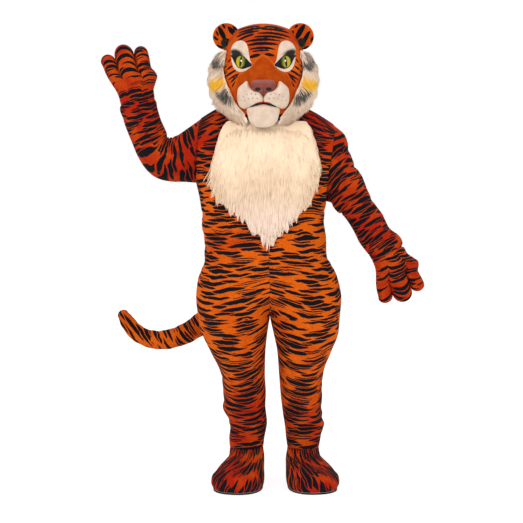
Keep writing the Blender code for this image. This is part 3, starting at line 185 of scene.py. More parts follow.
# The same, but finer: bunched cloth above the hems, drag lines from crotch, armpits and waist.
CREASES = table(
    "height side turn reach slope width depth",
    (0.205, RIGHT, 20, 170, 0.20, 0.010, -0.0035),
    (0.228, RIGHT, 120, 190, -0.15, 0.011, 0.0030),
    (0.285, RIGHT, -20, 150, 0.35, 0.012, -0.0040),
    (0.342, RIGHT, 60, 160, -0.25, 0.014, -0.0045),
    (0.372, RIGHT, 170, 140, 0.15, 0.015, -0.0040),
    (0.430, RIGHT, 80, 120, -0.55, 0.013, -0.0040),
    (0.452, RIGHT, -25, 90, 0.80, 0.013, -0.0035),
    (0.510, RIGHT, 150, 120, 0.30, 0.016, -0.0040),
    (0.540, RIGHT, 0, 80, 0.90, 0.014, -0.0035),
    (0.622, RIGHT, 5, 60, 1.00, 0.012, -0.0040),
    (0.210, LEFT, 150, 180, 0.15, 0.010, -0.0035),
    (0.232, LEFT, 30, 170, -0.25, 0.011, 0.0030),
    (0.283, LEFT, 60, 150, -0.45, 0.012, -0.0045),
    (0.300, LEFT, -40, 120, 0.40, 0.012, -0.0035),
    (0.350, LEFT, 10, 140, 0.65, 0.013, -0.0045),
    (0.365, LEFT, 120, 150, -0.20, 0.015, -0.0045),
    (0.425, LEFT, 70, 110, -0.60, 0.013, -0.0045),
    (0.455, LEFT, -30, 100, 0.75, 0.013, -0.0035),
    (0.520, LEFT, 160, 120, -0.30, 0.016, -0.0040),
    (0.560, LEFT, 0, 80, 0.85, 0.014, -0.0035),
    (0.630, LEFT, 5, 60, 0.95, 0.012, -0.0040),
    (0.725, RIGHT, 12, 44, -0.60, 0.012, -0.0030),
    (0.748, LEFT, 12, 46, 0.60, 0.012, -0.0030),
    (0.775, RIGHT, 178, 50, 0.50, 0.014, -0.0035),
    (0.792, LEFT, 170, 56, -0.45, 0.014, -0.0035),
    (0.860, RIGHT, 100, 70, -0.20, 0.014, -0.0035),
    (0.882, LEFT, 75, 66, 0.25, 0.014, -0.0035),
    (0.918, LEFT, 100, 90, -0.18, 0.013, -0.0040),
    (0.962, RIGHT, 70, 80, 0.22, 0.013, -0.0040),
    (1.000, LEFT, 60, 70, 0.30, 0.014, 0.0030),
    (1.012, RIGHT, 110, 80, -0.20, 0.014, -0.0035),
    (1.100, RIGHT, 80, 70, 0.55, 0.014, -0.0040),
    (1.120, LEFT, 85, 60, 0.35, 0.013, -0.0040),
    (1.150, RIGHT, 120, 60, -0.50, 0.014, -0.0040),
    (1.175, LEFT, 130, 60, -0.40, 0.014, -0.0040),
    (1.270, RIGHT, 66, 44, 0.90, 0.016, -0.0045),
    (1.300, LEFT, 68, 40, -0.80, 0.016, -0.0040),
    (1.330, RIGHT, 120, 50, -0.80, 0.018, -0.0045),
    (1.340, LEFT, 118, 50, 0.80, 0.018, -0.0040),
    (1.430, RIGHT, 130, 60, -0.40, 0.018, -0.0040),
    (1.440, LEFT, 132, 60, 0.40, 0.018, -0.0040),
)

# How far a streak climbs from the middle of a leg or panel to its inner and its outer edge.
SAG = table(
    "height inner outer",
    (0.140, 0.010, 0.004),
    (0.240, 0.030, 0.022),
    (0.320, 0.050, 0.042),
    (0.400, 0.078, 0.060),
    (0.470, 0.086, 0.056),
    (0.600, 0.080, 0.038),
    (0.700, 0.066, 0.030),
    (0.800, 0.044, 0.028),
    (0.890, 0.016, 0.012),
    (0.990, 0.004, 0.004),
    (1.200, 0.000, 0.000),
    (1.600, 0.000, 0.000),
)
SAG_LOWEST = 0.58  # the share of the width where it hangs lowest

# Creases of a sleeve: at which ring, where round it (degrees from the underside, by the front), how far it
# reaches round, how wide it is (in rings), how far it slopes (rings) and how deep it is.
SLEEVE_CREASES = {
    RIGHT: table(
        "ring turn reach width slope depth",
        (0.7, 60, 100, 0.22, 0.5, -0.005),
        (1.3, 110, 120, 0.20, -0.4, -0.005),
        (1.7, 250, 130, 0.22, 0.3, -0.005),
        (2.3, 70, 110, 0.18, 0.3, -0.004),
        (2.8, 150, 120, 0.18, -0.3, -0.006),
        (3.3, 200, 150, 0.17, 0.1, -0.008),
        (3.8, 165, 140, 0.15, -0.2, -0.008),
        (4.2, 205, 130, 0.15, 0.3, -0.007),
        (4.7, 170, 120, 0.14, -0.1, -0.005),
        (5.6, 60, 90, 0.18, 0.3, -0.003),
        (6.4, 130, 110, 0.20, -0.3, -0.004),
        (7.3, 50, 120, 0.20, 0.2, -0.003),
        (8.2, 250, 130, 0.20, 0.2, -0.004),
        (9.2, 110, 120, 0.22, -0.2, -0.003),
    ),
    LEFT: table(
        "ring turn reach width slope depth",
        (0.7, 120, 90, 0.22, 0.6, -0.006),
        (1.2, 60, 110, 0.20, -0.5, -0.006),
        (1.8, 150, 120, 0.18, 0.4, -0.006),
        (2.5, 80, 140, 0.18, -0.3, -0.006),
        (3.1, 190, 150, 0.17, 0.3, -0.006),
        (3.7, 60, 130, 0.18, 0.3, -0.007),
        (4.4, 110, 150, 0.16, -0.3, -0.007),
        (4.9, 20, 120, 0.16, 0.2, -0.006),
        (5.6, 140, 140, 0.17, 0.3, -0.007),
        (6.4, 70, 150, 0.17, -0.2, -0.007),
        (7.2, 120, 150, 0.18, 0.2, -0.006),
        (8.1, 60, 140, 0.18, -0.3, -0.006),
        (9.0, 110, 150, 0.18, 0.2, -0.005),
        (9.7, 40, 120, 0.16, 0.1, -0.004),
    ),
}
# How far a crease of slope 1 climbs in each radian round, in metres.
SLOPE_REACH = {"body": 0.10, "foot": 0.05}
RING_CELLS = 11  # cells between two rings of a sleeve
SLEEVE_END = 0.5  # over how many rings the creases of a sleeve die away at both of its ends
SLEEVE_DIP = {"depth": 0.00168, "degrees": 4}
SLEEVE_SEAM = {RIGHT: 100, LEFT: 350}  # degrees round where the print of each sleeve starts


# The mitt, flat on its back: widths either side of its middle line, and its half thickness.
MITT = table(
    "along far thumb_side depth",
    (0.000, -0.071, 0.071, 0.068),
    (0.030, -0.071, 0.074, 0.065),
    (0.058, -0.075, 0.089, 0.063),
    (0.085, -0.084, 0.103, 0.062),
    (0.108, -0.092, 0.096, 0.060),
    (0.122, -0.096, 0.087, 0.058),
    (0.145, -0.101, 0.088, 0.055),
    (0.170, -0.104, 0.090, 0.051),
    (0.190, -0.108, 0.090, 0.047),
    (0.240, -0.109, 0.090, 0.040),
)
FINGERS = table(
    "number centre half_width base rise",
    (1, -0.0785, 0.0305, 0.184, 0.031),
    (2, -0.0080, 0.0400, 0.194, 0.046),
    (3, 0.0610, 0.0290, 0.186, 0.031),
)
# Which way each mitt points, how far its fingertips curl forward and how much shorter that leaves it.
MITTS = {
    RIGHT: {"along": (-0.232, -0.060, 0.973), "across": (0.973, 0.0, 0.232), "curl": 0.030, "length": 1.0},
    LEFT: {"along": (0.345, -0.240, -0.907), "across": (0.935, 0.0, 0.355), "curl": 0.045, "length": 0.90},
}


FOOT = table(
    "height toe heel ball_half heel_half",
    (0.0143, 0.272, 0.088, 0.113, 0.064),
    (0.030, 0.284, 0.094, 0.122, 0.070),
    (0.052, 0.282, 0.096, 0.120, 0.073),
    (0.074, 0.258, 0.095, 0.107, 0.074),
    (0.096, 0.204, 0.093, 0.089, 0.075),
    (0.116, 0.148, 0.091, 0.081, 0.075),
    (0.130, 0.112, 0.088, 0.077, 0.075),
)
FOOT_PLACE = {RIGHT: (-0.075, -0.002), LEFT: (0.150, 0.002)}
TOE_OUT = math.radians(13)
FOOT_BLUNTNESS = 0.85  # power of its outline; 1 would be an oval

TAIL_PATH = table(
    "point x y height radius",
    (0, 0.012, 0.168, 0.800, 0.050),
    (1, -0.030, 0.222, 0.790, 0.049),
    (2, -0.105, 0.246, 0.755, 0.049),
    (3, -0.185, 0.240, 0.703, 0.048),
    (4, -0.250, 0.224, 0.652, 0.047),
    (5, -0.300, 0.208, 0.612, 0.046),
    (6, -0.350, 0.196, 0.583, 0.044),
    (7, -0.405, 0.186, 0.564, 0.042),
    (8, -0.461, 0.178, 0.557, 0.040),
    (9, -0.515, 0.172, 0.567, 0.037),
    (10, -0.560, 0.168, 0.592, 0.035),
    (11, -0.594, 0.164, 0.632, 0.032),
    (12, -0.616, 0.162, 0.668, 0.024),
)

HEAD_X = -0.011
HEAD = table(
    "height half_width front back",
    (1.480, 0.122, -0.138, 0.100),
    (1.520, 0.140, -0.150, 0.115),
    (1.560, 0.160, -0.165, 0.135),
    (1.620, 0.184, -0.178, 0.168),
    (1.680, 0.192, -0.184, 0.186),
    (1.740, 0.184, -0.184, 0.190),
    (1.790, 0.165, -0.170, 0.178),
    (1.830, 0.143, -0.148, 0.156),
    (1.860, 0.117, -0.122, 0.128),
    (1.880, 0.088, -0.093, 0.097),
    (1.892, 0.060, -0.061, 0.064),
    (1.898, 0.030, -0.030, 0.032),
)
CROWN = 1.900
SNOUT = table(
    "height out half_width",
    (1.470, 0.042, 0.070),
    (1.520, 0.050, 0.078),
    (1.560, 0.061, 0.090),
    (1.610, 0.070, 0.098),
    (1.645, 0.068, 0.092),
    (1.670, 0.050, 0.078),
    (1.700, 0.025, 0.060),
    (1.740, 0.009, 0.048),
    (1.780, 0.000, 0.045),
)
HEAD_RIM = {"front": 1.505, "side": 1.540, "back": 1.535, "tries": 3, "looks_from": 0.2}
HEAD_BLUNTNESS = 2.2  # superellipse power of its sections

SEAM_CALM = 7  # cells from a centre seam within which a fold dies away
SEAM_REACH = 0.045  # the same for a fine crease, in metres
CUFF = {"drawn_in": 0.007, "rings": 0.30, "gap": 0.0008, "cells": 12, "rows": 5}

# Where each piece of cloth was cut from the print, in streaks and rows.
PRINT_START = {
    (RIGHT, "front"): (4.73, 9.60), (LEFT, "front"): (14.28, 55.35),
    (RIGHT, "back"): (23.10, 91.40), (LEFT, "back"): (31.45, 133.20),
    (RIGHT, "sleeve"): (41.65, 176.15), (LEFT, "sleeve"): (57.15, 213.10),
    (RIGHT, "mitt"): (67.25, 251.70), (LEFT, "mitt"): (79.90, 297.45),
    (RIGHT, "foot"): (95.70, 349.60), (LEFT, "foot"): (112.85, 394.10),
    "tail": (113.2, 411.3), "ear": (3.3, 7.7),
}

# The print is wider apart and thinner on the upper arm.
SLEEVE_LOOSE = {RIGHT: 0.32, LEFT: 0.10, "reach": 0.24, "thin": 0.22, "until": 0.60, "fade": 0.15}

# The mitt's tips are rounded, and the clefts between its fingers begin, at these shares of its length.
MITT_FORM = {
    "groove": 0.006, "cleft": 0.34, "cleft_from": 0.45, "cleft_fade": 0.30, "crease": 0.004,
    "round_from": 0.62,
}
THUMB = {
    "across": 0.070, "along": 0.098, "half_width": 0.034, "half_length": 0.044, "height": 0.022,
    "seam": 0.005, "seam_width": 0.16,
}
BEND = {"along": 0.165, "across": -0.010, "slope": 0.25, "width": 0.007, "ends": 0.090, "fade": 0.060}
KNUCKLES = {"along": 0.160, "width": 0.010, "ends": 0.090, "fade": 0.050}
FINGER_CELLS, MITT_ROWS, MITT_PITCH = 14, 48, 0.027
PALM_PRINT = (0, 31.0)  # how far apart in the print the palm was cut from the back

FOOT_COLUMNS = 132
FOOT_ROWS = np.concatenate([np.linspace(0.0085, 0.0175, 5), np.linspace(0.0200, 0.130, 38)])
FOOT_CUFF = {"leg_rows": (0, 6), "rows": 6, "gap": 0.0008, "narrows_from": 0.070}
FOOT_HEM = {
    "over": 0.0046, "from": 0.030, "down_to": 0.016, "swell": 0.002, "swell_at": 0.03, "swell_width": 0.02,
}
FOOT_RED = {"heel": 0.45, "toe": 0.42}
FOOT_PRINT = {"length": 0.165, "rows": 23.0, "bend": 0.4, "slant": 12.0}
# Folds over the instep and round the heel: how far round from the toe (degrees towards the outside).
FOOT_CREASES = table(
    "height turn reach slope width depth",
    (0.118, 20, 150, 0.10, 0.007, -0.004),
    (0.100, -40, 120, -0.12, 0.008, -0.004),
    (0.106, 100, 130, 0.10, 0.008, -0.004),
    (0.090, 190, 140, 0.05, 0.010, -0.004),
    (0.072, 60, 100, -0.30, 0.010, -0.003),
    (0.060, -70, 110, 0.25, 0.010, -0.003),
    (0.048, 170, 120, -0.10, 0.010, -0.003),
)

TAIL_CELLS, TAIL_COLUMNS = 9, 40
TAIL_LUMPS = ((0.02, 0.55, 2), (0.016, 0.9, -1))  # depth, waves along and round it
TAIL_TIP = {"length": 0.9, "rings": 8, "least": 0.02}  # in radii of its last ring
TAIL_PRINT = {"slope": math.radians(56), "length": 0.165, "pitch": 0.0255}
# Where a panel's dye is redder: from which height, over what length (below 0 where it is redder downwards)
# and how much.
REDDER = {"chest": (1.10, 0.34, 0.85), "calf": (0.56, -0.26, 0.62), "thigh": (0.86, -0.20, 0.15)}
WAIST_RED = {"height": 0.985, "half_height": 0.05, "across": -0.12, "half_width": 0.14, "much": 0.5}
SLEEVE_RED = {"ends": 0.90, "less": 0.20}
EVEN_RED = {"mitt": 0.70, "tail": 0.25}
# Where its streaks are thicker: from which height and over what length.
BOLDER = {"calf": (0.55, -0.2), "shoulder": (1.25, 0.15)}
# Added to the streaks' thickness, in rows.
BOLD = {"sleeve": 0.05, "mitt": -0.06, "foot": 0.20, "toe": -0.14, "tail": -0.05}

ORANGE, RED = (0.60, 0.094, 0.003), (0.35, 0.011, 0.002)
LIGHT_ORANGE, DEEP_ORANGE = (0.76, 0.165, 0.012), (0.33, 0.034, 0.003)
STREAK_BLACK = (0.006, 0.006, 0.008)

FRAME = 523  # pixels each way
CAMERA = {"place": (0.0, -5.0, -0.3), "lens": 82.35, "sensor": 36.0, "axis_px": (266.0, 191.5)}
FLOOR_REACH = 14.0
FLOOR_GREY, FLOOR_GLOW, FLOOR_GLOW_STRENGTH = (0.25, 0.25, 0.25), (1.0, 1.0, 1.0), 0.82
WORLD_WHITE, WORLD_STRENGTH = (1.0, 1.0, 1.0), 1.0
SHEEN_ROUGHNESS, COAT_ROUGHNESS = 0.45, 0.08
SHEEN_TINT = (1.0, 0.45, 0.18)
MILLIMETRES = 1000.0  # in a metre

# The print, counted in rows across its streaks and in streaks along them.
WAVES = {"wave": 0.9, "twist": 0.45, "twist_along": 0.4}
LONG_STREAKS = {"length": 0.50, "thickness": 0.35}
SHORT_STREAKS = {
    "length": 0.46, "thickness": 0.31, "bold": 0.8, "often": 0.88, "often_bold": 2.0, "closer": 1.15,
    "shift": 0.37, "clear": 0.075,
}
STREAKS = {
    "shift": 9.0, "shortest": 0.70, "longer": 0.30, "thinnest": 0.72, "thicker": 0.36, "taper": 2.1,
    "stray": 0.22, "lean": 0.40, "off_middle": 0.06, "slit": 0.30, "slit_edge": 1.6, "point": 0.03,
    "whole": (0.05, 0.08, 0.0, 0.6),
}
PILE_COMB = {"along": 62.0, "across": 2.6, "ragged": 0.16, "grain": 0.05}

LIGHTS = (
    ("key", (-2.4, -4.2, 1.9), (0, 0, -0.4), 60.0, 1.8),
    ("fill", (3.0, -3.6, 0.8), (0, 0, -0.5), 22.0, 2.4),
    ("rim", (0.6, 3.2, 2.4), (0, 0, 0.0), 20.0, 2.0),
)
SNOUT_BROWN, SNOUT_ORANGE = (0.33, 0.036, 0.001), (0.46, 0.066, 0.002)
FELT_WHITE, FELT_SHADE, SMUDGE = (0.72, 0.57, 0.45), (0.62, 0.46, 0.35), (0.010, 0.009, 0.008)
IRIS_YELLOW, IRIS_GREEN, IRIS_LIGHT = (0.42, 0.33, 0.008), (0.045, 0.070, 0.006), (0.52, 0.45, 0.025)
# The second colour is a painted highlight: the white glint on each eye is colour, not a reflection.
EYE_BLACK, PAINTED_HIGHLIGHT_WHITE = (0.005, 0.005, 0.005), (0.95, 0.95, 0.95)
LIP_BLACKS = (0.012, 0.010, 0.010), (0.02, 0.014, 0.012)  # each with its darker shade
LIP_REDS = (0.42, 0.05, 0.012), (0.32, 0.03, 0.01)

# Marks of the eyes and the nose, in centimetres from the head's middle and above the floor.
EYE_SPOT = {"across": 8.95, "half_width": 1.95, "up": 172.35, "half_height": 2.45}
# The slit and the painted highlight: places in half sizes of EYE_SPOT, and the squares of their own half
# sizes in them.
EYE_SLIT = {"lean": 0.18, "across": 0.070, "up": 0.85}
EYE_PAINTED_HIGHLIGHT = {"inwards": 0.12, "above": 0.16, "across": 0.030, "up": 0.035}
BROW = {
    "across": 10.8, "half_width": 2.9, "up": 176.0, "half_height": 1.75, "turns_at": 10.9, "lean": 0.9,
    "bend": 0.35, "ragged": 0.8, "edge": (0.55, 1.25, 0.98, 0.0),
}
NOSTRIL = {"across": 2.0, "half_width": 1.05, "up": 160.75, "half_height": 0.62}
NOSE_CLEFT = {"width": 0.13, "ends": (160.6, 161.6)}
# Painted highlight: the top of the nose is made lighter between these heights.
NOSE_PAINTED_HIGHLIGHT_HEIGHTS = (162.2, 164.2)  # between these heights it gets lighter

NOSE_BROWN, NOSE_LIGHT = (0.18, 0.038, 0.028), (0.23, 0.055, 0.040)
# The first of these is a painted highlight for the top of the nose, the second painted shade for its cleft
# and nostrils.
NOSE_PAINTED_HIGHLIGHT, NOSE_PAINTED_SHADE = (0.29, 0.085, 0.065), (0.008, 0.004, 0.004)
CREAM, CREAM_SHADE = (0.93, 0.73, 0.52), (0.85, 0.64, 0.44)
WHITE_FUR, WHITE_SHADE = (0.90, 0.73, 0.57), (0.72, 0.54, 0.40)
# The second colour is a painted highlight: a lighter orange along the snout's upper rim.
FUR_PALE, SNOUT_PAINTED_HIGHLIGHT = (0.93, 0.75, 0.63), (0.66, 0.13, 0.006)
# The first colour is painted shade for the roots of the fur.
FUR_ROOT_PAINTED_SHADE, FUR_BLUSH = (0.76, 0.58, 0.44), (0.70, 0.38, 0.28)
FUR_OCHRE, FUR_GREY = (0.90, 0.52, 0.03), (0.055, 0.050, 0.050)
TUFT, TUFT_SHADE = (0.045, 0.040, 0.036), (0.012, 0.011, 0.010)

SOLE_BLACK, SOLE_WORN, WELT_PALE = (0.010, 0.010, 0.011), (0.018, 0.017, 0.017), (0.42, 0.37, 0.34)
WELT_HEIGHT = 7.0  # millimetres, just under the edge of the cover
TWILL_PITCH, TOOTH_PITCH, TEETH_HALF_WIDTH = 1.2, 3.2, 3.0  # millimetres
TAPE_DARK, TAPE_LIGHT = (0.05, 0.018, 0.006), (0.12, 0.045, 0.015)
TOOTH_SHADE, TOOTH_METAL = (0.02, 0.015, 0.01), (0.30, 0.20, 0.09)

HEAD_WALL = 0.012  # foam under plush
HEAD_CLEAR = 0.003  # between the head's rim and the cloth it rests on
HEAD_STEP, HEAD_FACE = {"face": 1.3, "behind": 2.4}, 66  # degrees between columns, and where the face ends
HEAD_LEVELS, HEAD_CROWDING, HEAD_PITCH = 150, 0.9, 0.028
HEAD_PRINT = {"radius": 0.19, "slant": 0.9, "other_side": 7.0, "crown": 1.3}
HEAD_SKIRT = 0.045  # how far the surface that fur and chin lie on is carried on below the head
PAD_SUNK = 0.004  # how deep a pad's hidden back lies in the foam
PAD_FACING = (0, -0.9, 0)  # how much a pad's relief leans to the front, where 1 is as much as off the head
PAD_EVENED, PAD_SHARP = 4, math.radians(60)
CENTIMETRES = 100.0  # in a metre

# Soft forms of the face, on both sides of its middle.
FACE_FORM = table(
    "across height half_width half_height out",
    (0.088, 1.722, 0.030, 0.026, -0.006),
    (0.078, 1.790, 0.034, 0.018, 0.006),
    (0.120, 1.655, 0.030, 0.026, 0.005),
    (0.000, 1.700, 0.020, 0.040, 0.004),
    (0.000, 1.800, 0.016, 0.040, -0.003),
    (0.106, 1.862, 0.036, 0.028, 0.007),
)
FACE_BEHIND, FACE_FADE = 0.035, 0.045  # how far back these forms reach, and over what length they end

# Painted strokes: from and to (offset from the head's middle, height), thickness, and bow.
BROW_STROKES = (
    ((-0.104, 1.861), (-0.010, 1.879), 0.0075, 0.004),
    ((0.000, 1.877), (0.094, 1.863), 0.0075, 0.003),
    ((-0.104, 1.847), (0.020, 1.869), 0.0080, 0.006),
    ((-0.010, 1.861), (0.110, 1.848), 0.0080, 0.006),
    ((-0.112, 1.831), (-0.015, 1.854), 0.0080, 0.005),
    ((-0.104, 1.814), (-0.035, 1.841), 0.0080, 0.003),
    ((-0.026, 1.843), (0.114, 1.829), 0.0082, 0.007),
    ((-0.040, 1.826), (0.094, 1.820), 0.0080, 0.006),
    ((-0.078, 1.805), (0.070, 1.810), 0.0084, 0.008),
    ((-0.068, 1.790), (0.062, 1.793), 0.0098, 0.007),
    ((-0.056, 1.773), (0.050, 1.773), 0.0078, 0.007),
    ((-0.048, 1.763), (0.026, 1.768), 0.0050, 0.002),
    ((-0.058, 1.739), (-0.010, 1.751), 0.0105, 0.001),
    ((0.004, 1.753), (0.046, 1.746), 0.0090, 0.001),
)
CHEEK_STROKES = (
    ((0.130, 1.741), (0.146, 1.724), 0.0050, 0.000),
    ((0.122, 1.712), (0.158, 1.688), 0.0061, 0.001),
    ((0.106, 1.693), (0.153, 1.668), 0.0068, 0.001),
    ((0.096, 1.677), (0.144, 1.652), 0.0061, 0.001),
    ((0.102, 1.667), (0.136, 1.638), 0.0058, 0.001),
    ((0.112, 1.648), (0.128, 1.622), 0.0050, 0.000),
)
EAR_STROKES = {
    RIGHT: (
        ((0.186, 1.884), (0.156, 1.824), 0.0153, 0.000),
        ((0.148, 1.882), (0.102, 1.836), 0.0153, 0.000),
        ((0.170, 1.896), (0.158, 1.874), 0.0076, 0.000),
        ((0.208, 1.842), (0.186, 1.826), 0.0076, 0.000),
        ((0.208, 1.806), (0.164, 1.796), 0.0093, 0.001),
        ((0.128, 1.884), (0.104, 1.862), 0.0068, 0.000),
        ((0.196, 1.866), (0.186, 1.842), 0.0059, 0.000),
    ),
    LEFT: (
        ((0.172, 1.892), (0.134, 1.828), 0.0161, -0.002),
        ((0.194, 1.866), (0.158, 1.800), 0.0127, -0.002),
        ((0.124, 1.868), (0.111, 1.846), 0.0085, 0.003),
        ((0.118, 1.846), (0.127, 1.828), 0.0076, 0.000),
        ((0.191, 1.802), (0.156, 1.776), 0.0119, 0.000),
        ((0.144, 1.890), (0.128, 1.876), 0.0068, 0.000),
        ((0.206, 1.842), (0.196, 1.818), 0.0068, 0.000),
    ),
}
# How far the plain snout reaches to each side.
SNOUT_PAINT = table(
    "height half_width",
    (1.440, 0.104),
    (1.560, 0.108),
    (1.620, 0.112),
    (1.655, 0.102),
    (1.672, 0.092),
    (1.690, 0.066),
    (1.705, 0.050),
    (1.722, 0.038),
    (1.738, 0.020),
    (1.750, 0.000),
    (1.760, -0.040),
    (1.900, -0.100),
)

PAINTED = {"half_width": 0.160, "fade": 0.02, "in_front_of": -0.02, "fade_behind": 0.03}
# Besides the snout's own edge, this places a painted highlight along its rim above the from height.
SNOUT_RIM = {"width": 0.014, "out": 0.2, "from": 1.655, "fade": 0.03}
HEAD_RED = {"face": 0.34, "top": 0.22, "from": 1.76, "fade": 0.1}

# Outlines of the sewn-on pads, seen from the front on one side: offset from the head's middle, height.
EYE_PATCH = (
    (0.096, 1.813), (0.116, 1.806), (0.127, 1.791), (0.132, 1.772), (0.130, 1.752), (0.128, 1.730),
    (0.121, 1.706), (0.107, 1.688), (0.088, 1.682), (0.070, 1.686), (0.053, 1.698), (0.044, 1.709),
    (0.053, 1.730), (0.057, 1.752), (0.061, 1.776), (0.068, 1.797), (0.080, 1.809),
)
EYE = (
    (0.132, 1.754), (0.110, 1.7535), (0.085, 1.750), (0.070, 1.737), (0.056, 1.722), (0.0445, 1.7075),
    (0.063, 1.6985), (0.085, 1.6945), (0.103, 1.7025), (0.115, 1.719), (0.125, 1.740),
)
MUZZLE = (
    (0.063, 1.640), (0.053, 1.616), (0.034, 1.601), (0.013, 1.595), (0.0015, 1.576), (0.0015, 1.561),
    (0.011, 1.552), (0.034, 1.546), (0.056, 1.539), (0.074, 1.535), (0.091, 1.5445), (0.100, 1.564),
    (0.102, 1.592), (0.097, 1.617), (0.077, 1.634),
)
NOSE_HALF = (
    (0.0, 1.644), (0.028, 1.6435), (0.043, 1.637), (0.046, 1.617), (0.040, 1.605), (0.022, 1.5995),
    (0.010, 1.593), (0.0, 1.583),
)
CHIN_HALF = (
    (0.0, 1.550), (0.036, 1.5445), (0.063, 1.537), (0.060, 1.509), (0.052, 1.482), (0.032, 1.463),
    (0.0, 1.457),
)


def both_halves(half):
    """A whole outline from its half on one side, from the top of the middle line to its foot."""
    return [*half, *[(-x, z) for x, z in half[-2:0:-1]]]


# The pads: outline, centre, how far each stands out in the middle and at its edge, how flat its crown is.
PADS = {
    kind: dict(zip(("outline", "centre", "thickness", "edge", "crown", "rings", "cells"), pad))
    for kind, *pad in (
        ("eye_patch", EYE_PATCH, (0.092, 1.750), 0.0055, 0.0025, 2.4, 12, 6),
        ("eye", EYE, (0.088, 1.723), 0.0085, 0.0012, 2.0, 16, 8),
        ("muzzle", MUZZLE, (0.056, 1.582), 0.026, 0.004, 2.2, 20, 7),
        ("chin", both_halves(CHIN_HALF), (0.0, 1.505), 0.030, 0.004, 2.3, 20, 6),
        ("nose", both_halves(NOSE_HALF), (0.0, 1.622), 0.024, 0.008, 2.6, 20, 6),
    )
}
MOUTH = {
    "cells": 8,
    "line": ((-0.053, 1.5385), (-0.036, 1.5440), (-0.018, 1.5485), (0.0, 1.5505), (0.018, 1.5485),
             (0.036, 1.5440), (0.053, 1.5385)),
    "widths": (0.003, 0.0070, 0.0075, 0.0060, 0.0075, 0.0070, 0.003),
    "lip": ((-0.032, 1.5505), (-0.016, 1.5545), (0.0, 1.5560), (0.016, 1.5545), (0.032, 1.5505)),
    "lip_widths": (0.001, 0.003, 0.0035, 0.003, 0.001),
    "rise": 0.004, "lip_rise": 0.0028, "edges_lower": 0.8,
}
LIP_WALL = 0.0015
WHISKER = {"radius": 0.0020, "rise": 0.0016, "rim_rise": 0.0007, "sides": 7}
STROKE_SCALE, STROKE_TAPER = 1.40, 0.55  # painted strokes spread into the pile and taper at their ends
WHISKER_SPOTS = (
    (0.030, 1.585), (0.047, 1.588), (0.064, 1.585), (0.079, 1.578),
    (0.024, 1.570), (0.041, 1.571), (0.058, 1.569), (0.074, 1.563), (0.088, 1.566),
)

EAR = {
    "across": 0.153, "y": -0.040, "height": 1.841, "radius": 0.056, "cup": 0.014, "lean": 0.010,
    "thins": 0.45, "round_from": 0.80, "round_over": 0.20, "middle": 0.001, "red": 0.35,
}
# The ear's foot: how far out of its centre (in radii), which place on the head it is sewn towards, how deep.
EAR_FOOT = {
    "share": 0.82, "inside": 0.008, "across": 0.02, "height": 1.70, "looks_from": 0.3, "sunk": 0.003,
}
EAR_RIPPLE = {"depth": 0.0015, "across": 150, "up": 130}
EAR_FACES = {"front": -0.011, "back": 0.013}  # where its two faces are, to either side of its middle
EAR_RIM = (math.radians(-66), math.radians(146))  # the free edge, turning from the outer side over the top
EAR_SEAM = (math.radians(-50), math.radians(128))
EAR_CELLS = {"up": 26, "round": 60}

# Fur: strands grow this long and wide, in steps; lift, rise and stray say how far they stand off, droop how
# soon they hang, and inset how far their roots lie inside the solid. None grow where the skin faces further
# back, or inwards, than facing. Where keep is given, the solid is drawn shorter towards its first height, by
# the factor that follows.
FUR_SEED = 11
FUR_SKIN_LEVELS = 2
STRAND = {
    "rooted": 0.002, "steady": 0.35, "taper": ((0, 0.35, 0.8, 1), (0.8, 1.0, 0.7, 0.25)),
    "lengths": (0.65, 0.55), "widths": (0.7, 0.6), "arch": (0.15, 0.75),
}
# Strands of a lock come together towards their tips, and keep this share of their places in it.
LOCK = {"late": 1.4, "apart": 0.35}
BIB_FUR = {
    "count": 13000, "steps": 5, "length": 0.060, "width": 0.0021, "lift": 0.10, "rise": 0.0035,
    "stray": 0.035, "curl": 0.02, "droop": 0.25, "inset": 0.003, "tuft": (-0.030, 0.006),
    "keep": (1.492, 0.95), "facing": 0.25, "locks": 0.06, "by_lock": 0.40, "shortest": 0.018,
}
# Where the bib's fur changes its way: from which height and over what length, and from how near its edge.
BIB_HEIGHTS = {"low": (1.20, -0.20), "wisps": (1.38, -0.12), "shoulder": (1.36, 0.08), "top": (1.470, 0.02)}
BIB_EDGES = {"wisps": (0.84, 0.14), "shoulder": (0.70, 0.28)}
BIB_WAYS = {
    "even": 0.20, "edge": 0.22, "inwards": 1.1, "wisps": 0.62, "shoulder": 0.10, "forward": 0.05,
    "slower": 0.5,
}
BIB_PULL = {"even": 0.12, "ragged": 0.60, "edge": 0.8, "low": (0.07, -0.05)}
BIB_LEAN = {"top": 1.21, "depth": 0.08, "reach": 0.10, "tip": 0.009, "edge": 0.026, "tries": 3}
CHEEK_FUR = {
    "count": 9000, "steps": 5, "length": 0.046, "width": 0.0021, "lift": 0.08, "rise": 0.0030, "stray": 0.045,
    "curl": 0.04, "droop": 0.10, "inset": 0.004, "jaw_length": 1.35, "facing": 0.1, "locks": 0.06,
    "by_lock": 0.5,
}
CHEEK_FOOT, CHEEK_RISE = 1.49, 0.30  # the height of the ruff's lower end, and of the ruff
CHEEK_JAW, CHEEK_TEMPLE = (0.38, -0.3), (0.65, 0.3)  # from which share of that rise, and over what share
CHEEK_INNER = {"across": (0.165, -0.05), "height": (1.700, -0.07)}
CHEEK_WAYS = {"out": 0.75, "jaw": 1.05, "temple": 0.60, "back": 0.35, "forward": 0.1, "down": 0.65}
CHEEK_LYING = {"whole": 0.6, "least": 0.35}  # strands that would stand off the skin are shorter
CHEEK_PULL = {"even": 0.15, "jaw": 0.45}
